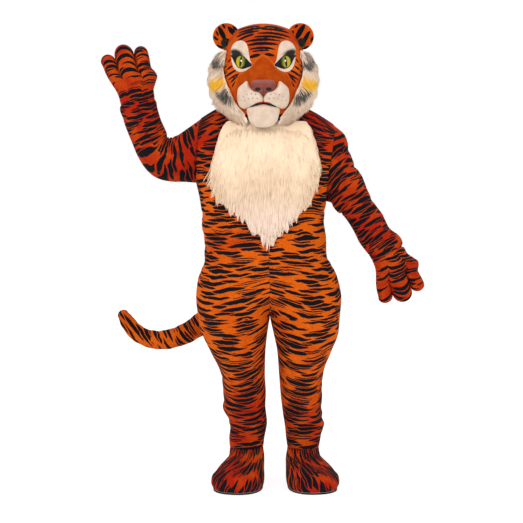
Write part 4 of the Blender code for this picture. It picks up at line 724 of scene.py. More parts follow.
TUFT_FUR = {
    "count": 500, "steps": 4, "length": 0.011, "width": 0.0020, "lift": 0.4, "rise": 0.002, "stray": 0.12,
    "curl": 0.08, "droop": 0.0, "inset": 0.002, "keep": (1.762, 0.74), "facing": 0.2, "locks": 0.08,
    "pull": 0.5, "across": 0.12, "below": 0.02, "forward": 0.3,
}
BIB_WIDTH = table(
    "height half_width",
    (0.960, 0.012),
    (1.000, 0.036),
    (1.040, 0.084),
    (1.070, 0.116),
    (1.110, 0.159),
    (1.186, 0.207),
    (1.260, 0.224),
    (1.327, 0.217),
    (1.400, 0.200),
    (1.492, 0.168),
)
BIB_WIDEST = 7  # rows of the table from the tip up to where the bib is widest

# Coloured patches in the fur: which, offset from the head's middle, height, half sizes, tilt (degrees from
# level towards the outer side) and strength.
FUR_PATCHES = (
    ("grey", 0.184, 1.724, 0.050, 0.014, 50, 1.25),
    ("ochre", 0.188, 1.641, 0.040, 0.026, 15, 1.0),
    ("grey", 0.156, 1.588, 0.046, 0.014, 44, 1.25),
    ("grey", 0.176, 1.752, 0.026, 0.007, 50, 0.8),
    ("blush", 0.100, 1.490, 0.050, 0.025, 0, 0.5),
    ("pale", 0.000, 1.060, 0.300, 0.130, 0, 1.0),
)


# ------------------------------------------------------------------ curves
def cubic(start, end, leave, arrive, t):
    """From start to end as t goes from 0 to 1, leaving and arriving at these speeds."""
    return (
        start * (1 + 2 * t) * (1 - t) ** 2
        + leave * t * (1 - t) ** 2
        + end * t**2 * (3 - 2 * t)
        + arrive * t**2 * (t - 1)
    )


def smooth(knots, values, x):
    """A monotone cubic through the knots, so a section never swells past its table."""
    x = np.clip(np.asarray(x, float), knots[0], knots[-1])
    step = np.diff(knots)
    rise = np.diff(values) / step
    slope = np.zeros(len(knots))
    both = rise[:-1] * rise[1:]
    total = rise[:-1] + rise[1:]
    slope[1:-1] = np.where(both > 0, 2 * both / np.where(both > 0, total, 1.0), 0.0)
    slope[0], slope[-1] = rise[0], rise[-1]
    at = np.clip(np.searchsorted(knots, x) - 1, 0, len(step) - 1)
    t = (x - knots[at]) / step[at]
    return cubic(values[at], values[at + 1], slope[at] * step[at], slope[at + 1] * step[at], t)


def read(source, column, x):
    return smooth(source["key"], source[column], x)


def rows_of(source):
    """The rows of a table, each as its columns' names and numbers."""
    return [{name: source[name][k] for name in source} for k in range(len(source["key"]))]


def arc_length(curve):
    return np.concatenate([[0], np.cumsum(np.linalg.norm(np.diff(curve, axis=0), axis=1))])


def crowded(cells):
    """Shares of a width, closer together towards its two seams."""
    t = np.linspace(0, 1, cells + 1)
    return t - EDGE_CROWDING * np.sin(2 * math.pi * t) / (2 * math.pi)


def points_at(curve, shares):
    """Points at these shares of a curve's length."""
    length = arc_length(curve)
    places = np.asarray(shares) * length[-1]
    return np.stack([np.interp(places, length, curve[:, axis]) for axis in range(3)], axis=1)


def flowing(points, cells, closed=False):
    """A smooth curve through rows of points, with this many cells between each two."""
    points = np.asarray(points, float)
    if closed:
        points = np.concatenate([points[-1:], points, points[:2]])
    else:
        points = np.concatenate([2 * points[:1] - points[1:2], points, 2 * points[-1:] - points[-2:-1]])
    before, start, end, after = points[:-3], points[1:-2], points[2:-1], points[3:]
    rows = []
    for t in np.linspace(0, 1, cells, endpoint=False):
        rows.append(
            start
            + 0.5 * t * (end - before)
            + t**2 * (before - 2.5 * start + 2 * end - 0.5 * after)
            + t**3 * (1.5 * (start - end) + 0.5 * (after - before))
        )
    flat = np.stack(rows, axis=1).reshape(-1, *points.shape[1:])
    return flat if closed else np.concatenate([flat, points[-2:-1]])


def unit(vectors):
    return vectors / np.maximum(np.linalg.norm(vectors, axis=-1, keepdims=True), 1e-12)


def ease(x):
    x = np.clip(x, 0, 1)
    return x * x * (3 - 2 * x)


def ramp(x, start, over):
    """Eased from 0 at start to 1 as far on as over says, which is below 0 where x goes down."""
    return ease((x - start) / over)


def bell(x):
    return np.exp(-np.square(x))


def round_by(turn, centre):
    """How far round these turns are from a centre, in degrees either way."""
    return (turn - centre + 180) % 360 - 180


def pressed(crease, past, off):
    """How far a crease moves what lies this far round past its middle and this far off its line."""
    end = CREASE_END * (1 - 2 * np.abs(past) / crease["reach"])
    return crease["depth"] * bell(off / crease["width"]) * ease(end)


def side_name(side):
    return "right" if side == RIGHT else "left"


# ------------------------------------------------------------------ meshes
def grid_cells(rows, columns, wrap=False):
    """The four-sided faces of a grid, with wrap where its last column meets its first."""
    i, j = np.meshgrid(np.arange(rows - 1), np.arange(columns if wrap else columns - 1), indexing="ij")
    a, b = i * columns + j, i * columns + (j + 1) % columns
    return np.stack([a, b, b + columns, a + columns], axis=-1).reshape(-1, 4)


def corner_values(values):
    """A grid's values at the corners of its cells, in the order of grid_cells."""
    corners = [values[:-1, :-1], values[:-1, 1:], values[1:, 1:], values[1:, :-1]]
    return np.stack(corners, axis=2).reshape(-1, 4, values.shape[-1])


def joined(grids):
    """The points and faces of several grids as one mesh. A grid is (points, wrap, flip)."""
    points, faces, start = [], [], 0
    for grid, wrap, flip in grids:
        cells = grid_cells(*grid.shape[:2], wrap)
        faces.append(start + (cells[:, ::-1] if flip else cells))
        points.append(grid.reshape(-1, 3))
        start += len(points[-1])
    return np.concatenate(points), np.concatenate(faces)


def sewn_normals(grids):
    """Outward normals of several grids, shared where their points meet."""
    points, faces = joined(grids)
    _, shared = np.unique(np.round(points, 6), axis=0, return_inverse=True)
    shared = shared.reshape(-1)
    a, b, c, d = (points[faces[:, k]] for k in range(4))
    normal = np.cross(c - a, d - b)
    total = np.zeros((shared.max() + 1, 3))
    for k in range(4):
        np.add.at(total, shared[faces[:, k]], normal)
    normals, found, start = unit(total)[shared], [], 0
    for grid, _, _ in grids:
        count = grid.shape[0] * grid.shape[1]
        found.append(normals[start : start + count].reshape(grid.shape))
        start += count
    return found


def new_piece(name, points, faces, material, nodes):
    """A mesh that rides on the costume in place of these nodes. Its points' heights are above the floor."""
    mesh = bpy.data.meshes.new(name)
    points = np.asarray(points, float).reshape(-1, 3) - (0, 0, ORIGIN_HEIGHT)
    mesh.from_pydata(points.tolist(), [], [[int(k) for k in face] for face in faces])
    mesh.materials.append(material)
    mesh.shade_smooth()
    piece = bpy.data.objects.new(name, mesh)
    bpy.context.scene.collection.objects.link(piece)
    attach(piece, "root")
    if nodes:
        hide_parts(*nodes)
    return piece


def add_values(piece, **columns):
    """Numbers kept at each of the piece's points, for its material."""
    for name, values in columns.items():
        attribute = piece.data.attributes.new(name, "FLOAT", "POINT")
        attribute.data.foreach_set("value", np.asarray(values, np.float32).reshape(-1))


def add_wall(piece, thickness):
    """Gives a piece that is only an outside its thickness, inwards."""
    wall = piece.modifiers.new("wall", "SOLIDIFY")
    wall.thickness = thickness
    wall.offset = -1


def add_print(piece, corners):
    """The print's coordinates at each face corner, counted in streaks and rows."""
    layer = piece.data.uv_layers.new(name="print")
    layer.data.foreach_set("uv", np.asarray(corners, np.float32).reshape(-1))


def cloth_piece(name, grid, prints, nodes, wrap=False, flip=False, material=None):
    """Cloth of PLUSH thickness outside which is this grid. prints has a column more where it wraps."""
    faces, corners = grid_cells(*grid.shape[:2], wrap), corner_values(prints)
    if flip:
        faces, corners = faces[:, ::-1], corners[:, ::-1]
    piece = new_piece(name, grid, faces, material or PLUSH_ORANGE, nodes)
    add_print(piece, corners)
    add_wall(piece, PLUSH)
    return piece


def tree_of(grids):
    """A search tree of the outsides of these grids."""
    points, faces = joined(grids)
    return BVHTree.FromPolygons(points.tolist(), faces.tolist())


def cast(tree, origin, direction):
    """(point, outward normal) where a ray first meets a tree, or None."""
    point, normal, _, _ = tree.ray_cast(Vector(origin), Vector(direction).normalized())
    return None if point is None else (np.array(point), np.array(normal))


def meet_loop(loop, centre, spoke):
    """Where a spoke from the centre crosses a closed loop of points lying about in one plane with it."""
    beside = unit(np.cross(loop_middle(loop)[1], spoke))
    height, reach = (loop - centre) @ beside, (loop - centre) @ spoke
    after_height, after_reach = np.roll(height, -1), np.roll(reach, -1)
    crossing = np.nonzero((height <= 0) != (after_height <= 0))[0]
    part = height[crossing] / (height[crossing] - after_height[crossing])
    distance = reach[crossing] + part * (after_reach[crossing] - reach[crossing])
    return centre + spoke * distance.max()


# ------------------------------------------------------------------ the suit
def torso_curve(side, height):
    """A row from centre front round the side to centre back, its side drawn up by SIDE_LIFT."""
    turn = np.linspace(0, math.pi, HALF_TURN_STEPS + 1)
    lift = SIDE_LIFT[side] * ease((height - SIDE_LIFT_FROM) / (ARMPIT - SIDE_LIFT_FROM))
    z = height + lift * np.sin(turn) ** 2
    middle = read(TORSO, "middle", z)
    reach = np.abs(read(TORSO, side_name(side), z) - middle)
    depth = np.where(turn < math.pi / 2, read(TORSO, "front", z), read(TORSO, "back", z))
    power = 2 / ROUNDNESS
    x = middle + side * reach * np.abs(np.sin(turn)) ** power
    return np.stack([x, depth * np.abs(np.cos(turn)) ** power, z], axis=1)


def leg_curve(side, height):
    """A row from the inseam round the front and the outer side back to the inseam."""
    turn = np.linspace(0, 2 * math.pi, 2 * HALF_TURN_STEPS + 1)
    inner = read(LEGS, f"{side_name(side)}_inner", height)
    outer = read(LEGS, f"{side_name(side)}_outer", height)
    depth = np.where(turn < math.pi, read(LEGS, "front", height), -read(LEGS, "back", height))
    x = (inner + outer) / 2 - (outer - inner) / 2 * np.cos(turn)
    return np.stack([x, depth * np.sin(turn), np.full(len(turn), height)], axis=1)


def halves(curve):
    """One point for each column, with the side seam at the middle of the curve."""
    middle, shares = len(curve) // 2, crowded(HALF_CELLS)
    return np.concatenate([points_at(curve[: middle + 1], shares), points_at(curve[middle:], shares)[1:]])


def suit_row(side, height):
    """A row below the armhole: a leg, the torso, or between them the fork, which turns fast at the inseam."""
    share = np.clip((height - CROTCH) / (FORK_TOP - CROTCH), 0, 1)
    torso_share = math.sqrt(1 - (1 - share) ** 2)
    leg = halves(leg_curve(side, height))
    if torso_share == 0:
        return leg
    inward = np.abs(np.linspace(-1, 1, 2 * HALF_CELLS + 1))[:, None] ** 3
    weight = ease(share) * (1 - inward) + torso_share * inward
    return (1 - weight) * leg + weight * halves(torso_curve(side, height))


def crease_height(side, grid, creases):
    """How far each crease moves each point of a grid outwards."""
    middle = read(TORSO, "middle", grid[..., 2])
    leg_middle = (
        read(LEGS, f"{side_name(side)}_inner", grid[..., 2])
        + read(LEGS, f"{side_name(side)}_outer", grid[..., 2])
    ) / 2
    middle = np.where(grid[..., 2] < CROTCH, leg_middle, middle)
    turn = np.degrees(np.arctan2(side * (grid[..., 0] - middle), -grid[..., 1]))
    total = np.zeros(grid.shape[:2])
    for crease in rows_of(creases):
        if crease["side"] == side:
            past = round_by(turn, crease["turn"])
            line = crease["height"] + crease["slope"] * np.radians(past) * SLOPE_REACH["body"]
            total += pressed(crease, past, grid[..., 2] - line)
    return total


def suit_top(side):
    """The neckline and shoulder line, from centre front and from centre back to the shoulder's tip."""
    bend = np.linspace(0, math.pi / 2, NECK_CELLS + 1)
    along = np.linspace(0, 1, NECK_CELLS + 1)[1:, None]
    tops = {}
    for face, direction in (("front", -1), ("back", 1)):
        x = NECK["middle"] + side * NECK["side"] * np.sin(bend)
        y = NECK["centre_y"] + direction * NECK[face] * np.cos(bend)
        z = NECK_HEIGHT[face] + (NECK_HEIGHT["side"] - NECK_HEIGHT[face]) * np.sin(bend) ** 2
        neckline = np.stack([x, y, z], axis=1)
        shoulder = neckline[-1] + (np.array(SHOULDER_TIP[side]) - neckline[-1]) * along
        shoulder[:, 2] += SHOULDER_CROWN * np.sin(math.pi * along[:, 0])
        tops[face] = points_at(np.concatenate([neckline, shoulder]), crowded(HALF_CELLS))
    return tops


def suit_half(side):
    """The outer grids of one side's front and back panels, from the leg hem to the shoulder."""
    lower = np.array([suit_row(side, h) for h in (*LEG_ROWS, *FORK_ROWS, *TORSO_ROWS)])
    out = sewn_normals([(lower, False, side == RIGHT)])[0]
    from_seam = np.minimum(np.arange(2 * HALF_CELLS + 1), np.arange(2 * HALF_CELLS + 1)[::-1])
    lower = lower + out * (crease_height(side, lower, FOLDS) * ease(from_seam / SEAM_CALM))[..., None]
    tops, steps = suit_top(side), np.linspace(0, 1, ARMHOLE_CELLS + 1)[1:, None, None]
    edge = ease((crowded(HALF_CELLS) - SIDE_FROM) / (1 - SIDE_FROM))[:, None]
    panels = {}
    for face, direction in (("front", -1), ("back", 1)):
        if face == "front":
            below, top, weight = lower[:, : HALF_CELLS + 1], tops[face], edge
        else:
            below, top, weight = lower[:, HALF_CELLS:], tops[face][::-1], edge[::-1]
        leave, arrive = (
            (1 - weight) * np.array((0, centre[0] * direction, centre[1]))
            + weight * np.array((0, edge_speed[0] * direction, edge_speed[1]))
            for centre, edge_speed in (PANEL_LEAVES.values(), PANEL_ARRIVES.values())
        )
        panels[face] = np.concatenate([below, cubic(below[-1], top, leave, arrive, steps)])
    return panels


def seam_distance(grid):
    """How far each point of a panel is from its centre seam or inseam, and from its side seam."""
    step = np.linalg.norm(np.diff(grid, axis=1), axis=2)
    first = np.concatenate([np.zeros((len(grid), 1)), np.cumsum(step, axis=1)], axis=1)
    return first, first[:, -1:] - first


def crease_panels(panels):
    """Fine creases and the drawn-in seams, moved out of or into every panel together."""
    names = list(panels)
    normals = sewn_normals([(panels[name], False, name[0] == RIGHT) for name in names])
    for (side, face), out in zip(names, normals):
        grid = panels[side, face]
        first, last = seam_distance(grid)
        centre = first if face == "front" else last
        depth = crease_height(side, grid, CREASES) * ease(centre / SEAM_REACH)
        for distance in (first, last):
            depth = depth - SEAM_DIP["depth"] * bell(distance / SEAM_DIP["width"])
        panels[side, face] = grid + out * depth[..., None]


def suit_prints(side, face, grid):
    """The print of one panel: streaks along its rows, hanging lowest at the middle of a leg."""
    heights = np.concatenate([LEG_ROWS, FORK_ROWS, TORSO_ROWS])
    climb = np.linalg.norm(np.diff(grid[len(heights) - 1 :], axis=0), axis=2).mean(axis=1)
    heights = np.concatenate([heights, heights[-1] + np.cumsum(climb)])[:, None]
    level = grid[..., 2]
    true = ease((level - TRUE_FROM) / TRUE_FADE["below"]) * ease((TRUE_TO - level) / TRUE_FADE["above"])
    heights = heights + (level - heights) * true
    first, last = seam_distance(grid)
    along = first if face == "front" else last
    share = along / (first + last)
    inner = read(SAG, "inner", heights) * np.clip(1 - share / SAG_LOWEST, 0, 1) ** 2
    outer = read(SAG, "outer", heights) * np.clip((share - SAG_LOWEST) / (1 - SAG_LOWEST), 0, 1) ** 2
    u = (side * along if face == "front" else -side * along) / STREAK
    hung = heights - inner - outer
    hung = hung - CALF_CROWDING * np.clip(CALF_TOP - hung, 0, 1)
    return np.stack([u, hung / PITCH], axis=-1) + PRINT_START[side, face]


def armhole(front, back):
    """The armhole's points: from the armpit up the front edge to the shoulder and down the back edge."""
    return np.concatenate([front[-ARMHOLE_CELLS - 1 :, -1], back[-2 : -ARMHOLE_CELLS - 1 : -1, 0]])


def sleeve_grid(side, first_ring):
    """A sleeve's outside, from the armhole through the rings of its table."""
    rings = [first_ring]
    turn = math.pi * np.arange(2 * ARMHOLE_CELLS) / ARMHOLE_CELLS
    for ring in rows_of(SLEEVES[side]):
        top = np.array((ring["top_x"], ring["y"], ring["top_z"]))
        under = np.array((ring["under_x"], ring["y"], ring["under_z"]))
        across, up = np.array((0.0, -ring["depth"], 0.0)), (top - under) / 2
        rings.append((top + under) / 2 - np.outer(np.cos(turn), up) + np.outer(np.sin(turn), across))
    return flowing(rings, RING_CELLS)


def crease_sleeve(side, grid):
    """The bunched cloth of a sleeve, and its end drawn in where the mitt is sewn to it."""
    rows, columns, _ = grid.shape
    out = sewn_normals([(grid, True, side == LEFT)])[0]
    ring = np.arange(rows)[:, None] / RING_CELLS
    turn = 360 * np.arange(columns)[None] / columns
    depth = np.zeros((rows, columns))
    for crease in rows_of(SLEEVE_CREASES[side]):
        past = round_by(turn, crease["turn"])
        depth += pressed(crease, past, ring - crease["ring"] - crease["slope"] * past / 180)
    depth *= ease(ring / SLEEVE_END) * ease((ring[-1] - ring) / SLEEVE_END)
    depth -= CUFF["drawn_in"] * bell((ring[-1] - ring) / CUFF["rings"])
    seam = bell(round_by(turn, SLEEVE_SEAM[side]) / SLEEVE_DIP["degrees"])
    depth -= SLEEVE_DIP["depth"] * seam * ease(ring / SLEEVE_END)
    return grid + out * depth[..., None]


def loop_middle(loop):
    """The middle of a closed loop of points and the normal of the plane that it lies about."""
    centre = loop.mean(axis=0)
    return centre, unit(np.cross(loop - centre, np.roll(loop, -1, axis=0) - centre).sum(axis=0))


def wrapped(values):
    """The columns again with the first repeated after the last."""
    return np.concatenate([values, values[:, :1]], axis=1)


def steadied(vectors, each_way):
    """Rows of vectors, each made the mean of the ones about it."""
    window = np.ones(2 * each_way + 1) / (2 * each_way + 1)
    columns = [np.convolve(np.pad(column, each_way, mode="edge"), window, "valid") for column in vectors.T]
    return unit(np.stack(columns, axis=1))


def sleeve_prints(side, grid):
    """Rings of streaks round the arm, counted along its middle."""
    middle = grid.mean(axis=1)
    ahead = steadied(np.gradient(middle, axis=0), SLEEVE_STEADY)
    along = arc_length(middle)[:, None]
    beyond = wrapped(((grid - middle[:, None]) * ahead[:, None]).sum(axis=2))
    along = along + beyond * SLEEVE_PRINT_TURN
    around = np.linalg.norm(np.diff(wrapped(grid), axis=1), axis=2).sum(axis=1).mean()
    u = np.linspace(0, around / STREAK, grid.shape[1] + 1)[None] + 0 * along
    along = along - SLEEVE_LOOSE[side] * np.minimum(along, SLEEVE_LOOSE["reach"])
    return np.stack([u, along / SLEEVE_PITCH], axis=-1) + PRINT_START[side, "sleeve"]


def build_panels(skins):
    """The four panels of the suit. Their outer grids are added to skins."""
    panels = {(side, face): grid for side in (RIGHT, LEFT) for face, grid in suit_half(side).items()}
    crease_panels(panels)
    for (side, face), grid in panels.items():
        name, flip = f"suit_{face}_{side_name(side)}", side == RIGHT
        piece = cloth_piece(f"cloth_{name}", grid, suit_prints(side, face, grid), [name], flip=flip)
        add_values(piece, red=panel_red(grid), bold=panel_bold(grid))
        skins[side, face] = (grid, False, flip)


def build_sleeve(side, skins):
    """A sleeve, sewn to the armhole of its side's panels. Its outer grid is added to skins."""
    grid = sleeve_grid(side, armhole(skins[side, "front"][0], skins[side, "back"][0]))
    grid = crease_sleeve(side, grid)
    grid = np.roll(grid, -round(SLEEVE_SEAM[side] / 360 * grid.shape[1]), axis=1)
    name, flip = f"sleeve_{side_name(side)}", side == LEFT
    piece = cloth_piece(f"cloth_{name}", grid, sleeve_prints(side, grid), [name], True, flip)
    add_values(piece, red=sleeve_red(grid), bold=sleeve_bold(side, grid))
    skins[side, "sleeve"] = (grid, True, flip)


def panel_red(grid):
    """How much redder the dye is: on the chest, the shoulders and down the sides of the calves."""
    x, z = grid[..., 0], grid[..., 2]
    chest, calf, thigh = (ease((z - start) / over) * much for start, over, much in REDDER.values())
    beside = bell((x - WAIST_RED["across"]) / WAIST_RED["half_width"])
    waist = bell((z - WAIST_RED["height"]) / WAIST_RED["half_height"]) * beside * WAIST_RED["much"]
    return np.clip(chest + waist + np.maximum(calf, thigh), 0, 1)


def panel_bold(grid):
    """Streaks are a little thicker on the calves and over the shoulders."""
    calf, shoulder = (ease((grid[..., 2] - start) / over) for start, over in BOLDER.values())
    return CALF_BOLD * calf + CALF_BOLD * shoulder


def along_sleeve(grid):
    """How far along the sleeve each point is, from 0 to 1."""
    return np.linspace(0, 1, len(grid))[:, None] + 0 * grid[..., 0]


def sleeve_bold(side, grid):
    """Where a sleeve's print is wider apart, its streaks are a smaller share of the rows."""
    loose = ease((SLEEVE_LOOSE["until"] - along_sleeve(grid)) / SLEEVE_LOOSE["fade"])
    return BOLD["sleeve"] - SLEEVE_LOOSE[side] * SLEEVE_LOOSE["thin"] * loose


def sleeve_red(grid):
    """A sleeve's ends are redder than its middle."""
    return np.clip(SLEEVE_RED["ends"] - SLEEVE_RED["less"] * np.sin(along_sleeve(grid) * math.pi), 0, 1)


# ------------------------------------------------------------------ mitts
def mitt_columns():
    """Places across the fingertips, how far along the mitt each reaches, and how deep in a cleft it is."""
    across, along = [], []
    for finger in rows_of(FINGERS):
        for local in -np.cos(math.pi * np.arange(FINGER_CELLS) / FINGER_CELLS):
            across.append(finger["centre"] + local * finger["half_width"])
            along.append(finger["base"] + finger["rise"] * math.sqrt(max(0.0, 1 - local**2)))
    across.append(finger["centre"] + finger["half_width"])
    along.append(finger["base"])
    across, along = np.array(across), np.array(along)
    clefts = across[[FINGER_CELLS, 2 * FINGER_CELLS]]
    groove = sum(bell((across - cleft) / MITT_FORM["groove"]) for cleft in clefts)
    return across, along, groove


def mitt_panel(side, palm):
    """The outer grid of a mitt's palm or back, in its own frame: across, towards its back, along."""
    across_tip, along_tip, groove = mitt_columns()
    share = (across_tip - across_tip[0]) / (across_tip[-1] - across_tip[0])
    local = np.abs(2 * share - 1)
    rows = []
    for t in np.sin(np.linspace(0, math.pi / 2, MITT_ROWS + 1)):
        along = along_tip * t
        far, near = read(MITT, "far", along), read(MITT, "thumb_side", along)
        across = far + (near - far) * share
        edge = np.sqrt(np.clip(1 - local ** (2.0 + 0.8 * t), 0, 1))
        round_off = max(0.0, (t - MITT_FORM["round_from"]) / (1 - MITT_FORM["round_from"]))
        dip = 1 - MITT_FORM["cleft"] * groove * ease((t - MITT_FORM["cleft_from"]) / MITT_FORM["cleft_fade"])
        depth = read(MITT, "depth", along) * edge * math.sqrt(max(0.0, 1 - round_off**2)) * dip
        depth = depth + (palm_relief(across, along) if palm else back_relief(across, along)) * edge
        forward = MITTS[side]["curl"] * (along / along_tip.max()) ** 2
        length = along * MITTS[side]["length"]
        rows.append(np.stack([across, (-depth if palm else depth) - forward, length], axis=1))
    return np.array(rows)


def palm_relief(across, along):
    """The thumb, a round pad sewn beside the palm, and the crease where the fingers bend."""
    beside = (across - THUMB["across"]) / THUMB["half_width"]
    ahead = (along - THUMB["along"]) / THUMB["half_length"]
    away = np.hypot(beside, ahead)
    pad = THUMB["height"] * np.sqrt(np.clip(1 - away**2, 0, 1))
    seam = THUMB["seam"] * bell((away - 1) / THUMB["seam_width"])
    line = BEND["along"] + BEND["slope"] * (across - BEND["across"])
    bend = MITT_FORM["crease"] * bell((along - line) / BEND["width"])
    return pad - seam - bend * ease((BEND["ends"] - across) / BEND["fade"])


def back_relief(across, along):
    """The dent across the knuckles."""
    line = bell((along - KNUCKLES["along"]) / KNUCKLES["width"])
    return -MITT_FORM["crease"] * line * ease((KNUCKLES["ends"] - np.abs(across)) / KNUCKLES["fade"])


def mitt_cuffs(sleeve, wrist, base):
    """Two rings of the cuff inside the sleeve's end, for the row of the mitt that starts there."""
    middle = sleeve.mean(axis=1, keepdims=True)
    inside = sleeve - unit(sleeve - middle) * PLUSH
    cuffs = []
    for loop in (inside[-CUFF["cells"]], inside[-1]):
        centre, plane = loop_middle(loop)
        spokes = base - wrist
        spokes = unit(spokes - np.outer(spokes @ plane, plane))
        cuffs.append(np.array([meet_loop(loop, centre, spoke) - spoke * CUFF["gap"] for spoke in spokes]))
    return cuffs


def mitt_panels(side, sleeve):
    """Palm (True) and back (False) in place, sewn round the edge, with the cuff tucked into the sleeve."""
    along, across = unit(np.array(MITTS[side]["along"])), unit(np.array(MITTS[side]["across"]))
    out = np.cross(along, across)
    out *= np.sign(out[1])
    wrist = sleeve[-1].mean(axis=0)
    panels = {}
    for palm in (True, False):
        world = wrist + mitt_panel(side, palm) @ np.stack([across, out, along])
        cuffs = mitt_cuffs(sleeve, wrist, world[0])
        panels[palm] = np.concatenate([flowing([*cuffs, world[0]], CUFF["rows"])[:-1], world])
    for edge in ((slice(None), 0), (slice(None), -1), -1):
        panels[True][edge] = panels[False][edge] = (panels[True][edge] + panels[False][edge]) / 2
    return panels


def build_mitt(side, sleeve):
    """A mitt of palm and back, its print running along it."""
    flips = {True: side == LEFT, False: side == RIGHT}
    for palm, grid in mitt_panels(side, sleeve).items():
        name = f"mitt_{side_name(side)}_{'palm' if palm else 'back'}"
        v = arc_length(grid.mean(axis=1))[:, None] / MITT_PITCH
        u = np.linalg.norm(grid - grid[:, :1], axis=2) / STREAK
        prints = np.stack([u, v + 0 * u], axis=-1) + PRINT_START[side, "mitt"] + np.array(PALM_PRINT) * palm
        piece = cloth_piece(f"cloth_{name}", grid, prints, [name], flip=flips[palm])
        even = np.ones(grid.shape[:2])
        add_values(piece, red=EVEN_RED["mitt"] * even, bold=BOLD["mitt"] * even)


# ------------------------------------------------------------------ feet
def foot_ring(side, height):
    """A section of the foot cover round the leg's middle, blunt at the toe and narrower at the heel."""
    turn = 2 * math.pi * np.arange(FOOT_COLUMNS) / FOOT_COLUMNS
    columns = ("toe", "heel", "ball_half", "heel_half")
    toe, heel, ball, rear = (read(FOOT, column, height) for column in columns)
    parts = np.sin(turn), np.cos(turn)
    round_x, round_y = (np.sign(part) * np.abs(part) ** FOOT_BLUNTNESS for part in parts)
    forward = (toe + heel) / 2 * round_y + (toe - heel) / 2
    share = ease((forward + heel * 0.4) / (toe + heel) * 1.2)
    sideways = (rear + (ball - rear) * share) * round_x
    x, y = FOOT_PLACE[side]
    spin = side * TOE_OUT
    across = x + sideways * math.cos(spin) + forward * math.sin(spin)
    back = y + sideways * math.sin(spin) - forward * math.cos(spin)
    return np.stack([across, back, np.full(FOOT_COLUMNS, height)], axis=1)


def foot_form(side, front, back):
    """The foot cover before its folds: rings that narrow to the leg's hem, and its cuff inside the leg."""
    rows = [foot_ring(side, height) for height in FOOT_ROWS]
    spokes = unit((rows[-1] - (*FOOT_PLACE[side], 0)) * (1, 1, 0))
    hem = np.concatenate([front[0], back[0]])
    neck = np.array([meet_loop(hem, hem.mean(axis=0), spoke) for spoke in spokes]) * (1, 1, 0)
    for k, height in enumerate(FOOT_ROWS):
        share = ease((height - FOOT_CUFF["narrows_from"]) / (FOOT_ROWS[-1] - FOOT_CUFF["narrows_from"]))
        rows[k] += (neck - rows[k]) * (share, share, 0)
    cuffs = []
    for k in FOOT_CUFF["leg_rows"]:
        loop = np.concatenate([front[k], back[k]])
        centre = loop.mean(axis=0)
        inside = PLUSH + FOOT_CUFF["gap"]
        cuffs.append(np.array([meet_loop(loop, centre, spoke) - spoke * inside for spoke in spokes]))
    return np.concatenate([rows[:-1], flowing([rows[-1], *cuffs], FOOT_CUFF["rows"])])


def foot_folds(side, grid, turn):
    """The cover with its folds, and its lower edge carried out over the rim of the sole."""
    out = sewn_normals([(grid, True, False)])[0]
    depth = np.zeros(grid.shape[:2])
    for crease in rows_of(FOOT_CREASES):
        past = round_by(np.degrees(turn) * side, crease["turn"])
        line = crease["height"] + crease["slope"] * np.radians(past) * SLOPE_REACH["foot"]
        depth += pressed(crease, past, grid[..., 2] - line)
    low = ease((FOOT_HEM["from"] - grid[..., 2]) / (FOOT_HEM["from"] - FOOT_HEM["down_to"]))
    above_edge = grid[..., 2] - grid[0, 0, 2] - FOOT_HEM["swell_at"]
    depth = depth * (1 - low) + FOOT_HEM["swell"] * bell(above_edge / FOOT_HEM["swell_width"])
    grid = grid + out * depth[..., None]
    middle = grid.mean(axis=1, keepdims=True)
    middle[len(FOOT_ROWS):] = middle[len(FOOT_ROWS) - 1]
    grid = grid + unit((grid - middle) * (1, 1, 0)) * (FOOT_HEM["over"] * low)[..., None]
    grid[0, :, 2] = FOOT_ROWS[0]
    return grid


def foot_prints(side, grid):
    """Streaks that run down the cover, fanned out towards the toe."""
    along = wrapped(arc_length(grid[:, 0])[:, None] + 0 * grid[..., 0])
    v = np.linspace(0, FOOT_PRINT["rows"], FOOT_COLUMNS + 1)[None] + 0 * along
    v = v + FOOT_PRINT["bend"] * np.sin(2 * math.pi * v / FOOT_PRINT["rows"])
    v = v + side * FOOT_PRINT["slant"] * along
    return np.stack([along / FOOT_PRINT["length"], v], axis=-1) + PRINT_START[side, "foot"]


def build_foot(side, skins):
    """A plush cover whose top is tucked into the leg. Its sole stays as the frame has it."""
    front, back = (skins[side, face][0] for face in ("front", "back"))
    turn = 2 * math.pi * np.arange(FOOT_COLUMNS) / FOOT_COLUMNS
    grid = foot_folds(side, foot_form(side, front, back), turn)
    name = f"foot_{side_name(side)}_upper"
    piece = cloth_piece(f"cloth_{name}", grid, foot_prints(side, grid), [name], wrap=True)
    toe = np.clip(np.cos(turn), 0, 1)[None] + 0 * grid[..., 0]
    add_values(piece, red=FOOT_RED["heel"] + FOOT_RED["toe"] * toe, bold=BOLD["foot"] + BOLD["toe"] * toe)


# ------------------------------------------------------------------ tail
def tail_rings(turn):
    """The tail's rings along its path, and the ones that round off its tip."""
    way = flowing(np.stack([TAIL_PATH[axis] for axis in ("x", "y", "height")], axis=1), TAIL_CELLS)
    radius = flowing(TAIL_PATH["radius"][:, None], TAIL_CELLS)[:, 0]
    ahead = unit(np.gradient(way, axis=0))
    ahead[0] = (0.0, 1.0, 0.0)
    flat = unit(np.cross(ahead, (0.0, 0.3, 1.0)))
    up = np.cross(ahead, flat)
    around = np.cos(turn)[:, None] * flat[:, None] + np.sin(turn)[:, None] * up[:, None]
    swell = np.array([tail_swell(k, turn) for k in range(len(way))])
    rings = list(way[:, None] + radius[:, None, None] * swell[..., None] * around)
    for t in np.linspace(0, math.pi / 2, TAIL_TIP["rings"] + 1)[1:]:
        middle = way[-1] + ahead[-1] * radius[-1] * TAIL_TIP["length"] * math.sin(t)
        rings.append(middle + radius[-1] * max(math.cos(t), TAIL_TIP["least"]) * around[-1])
    return np.array(rings)


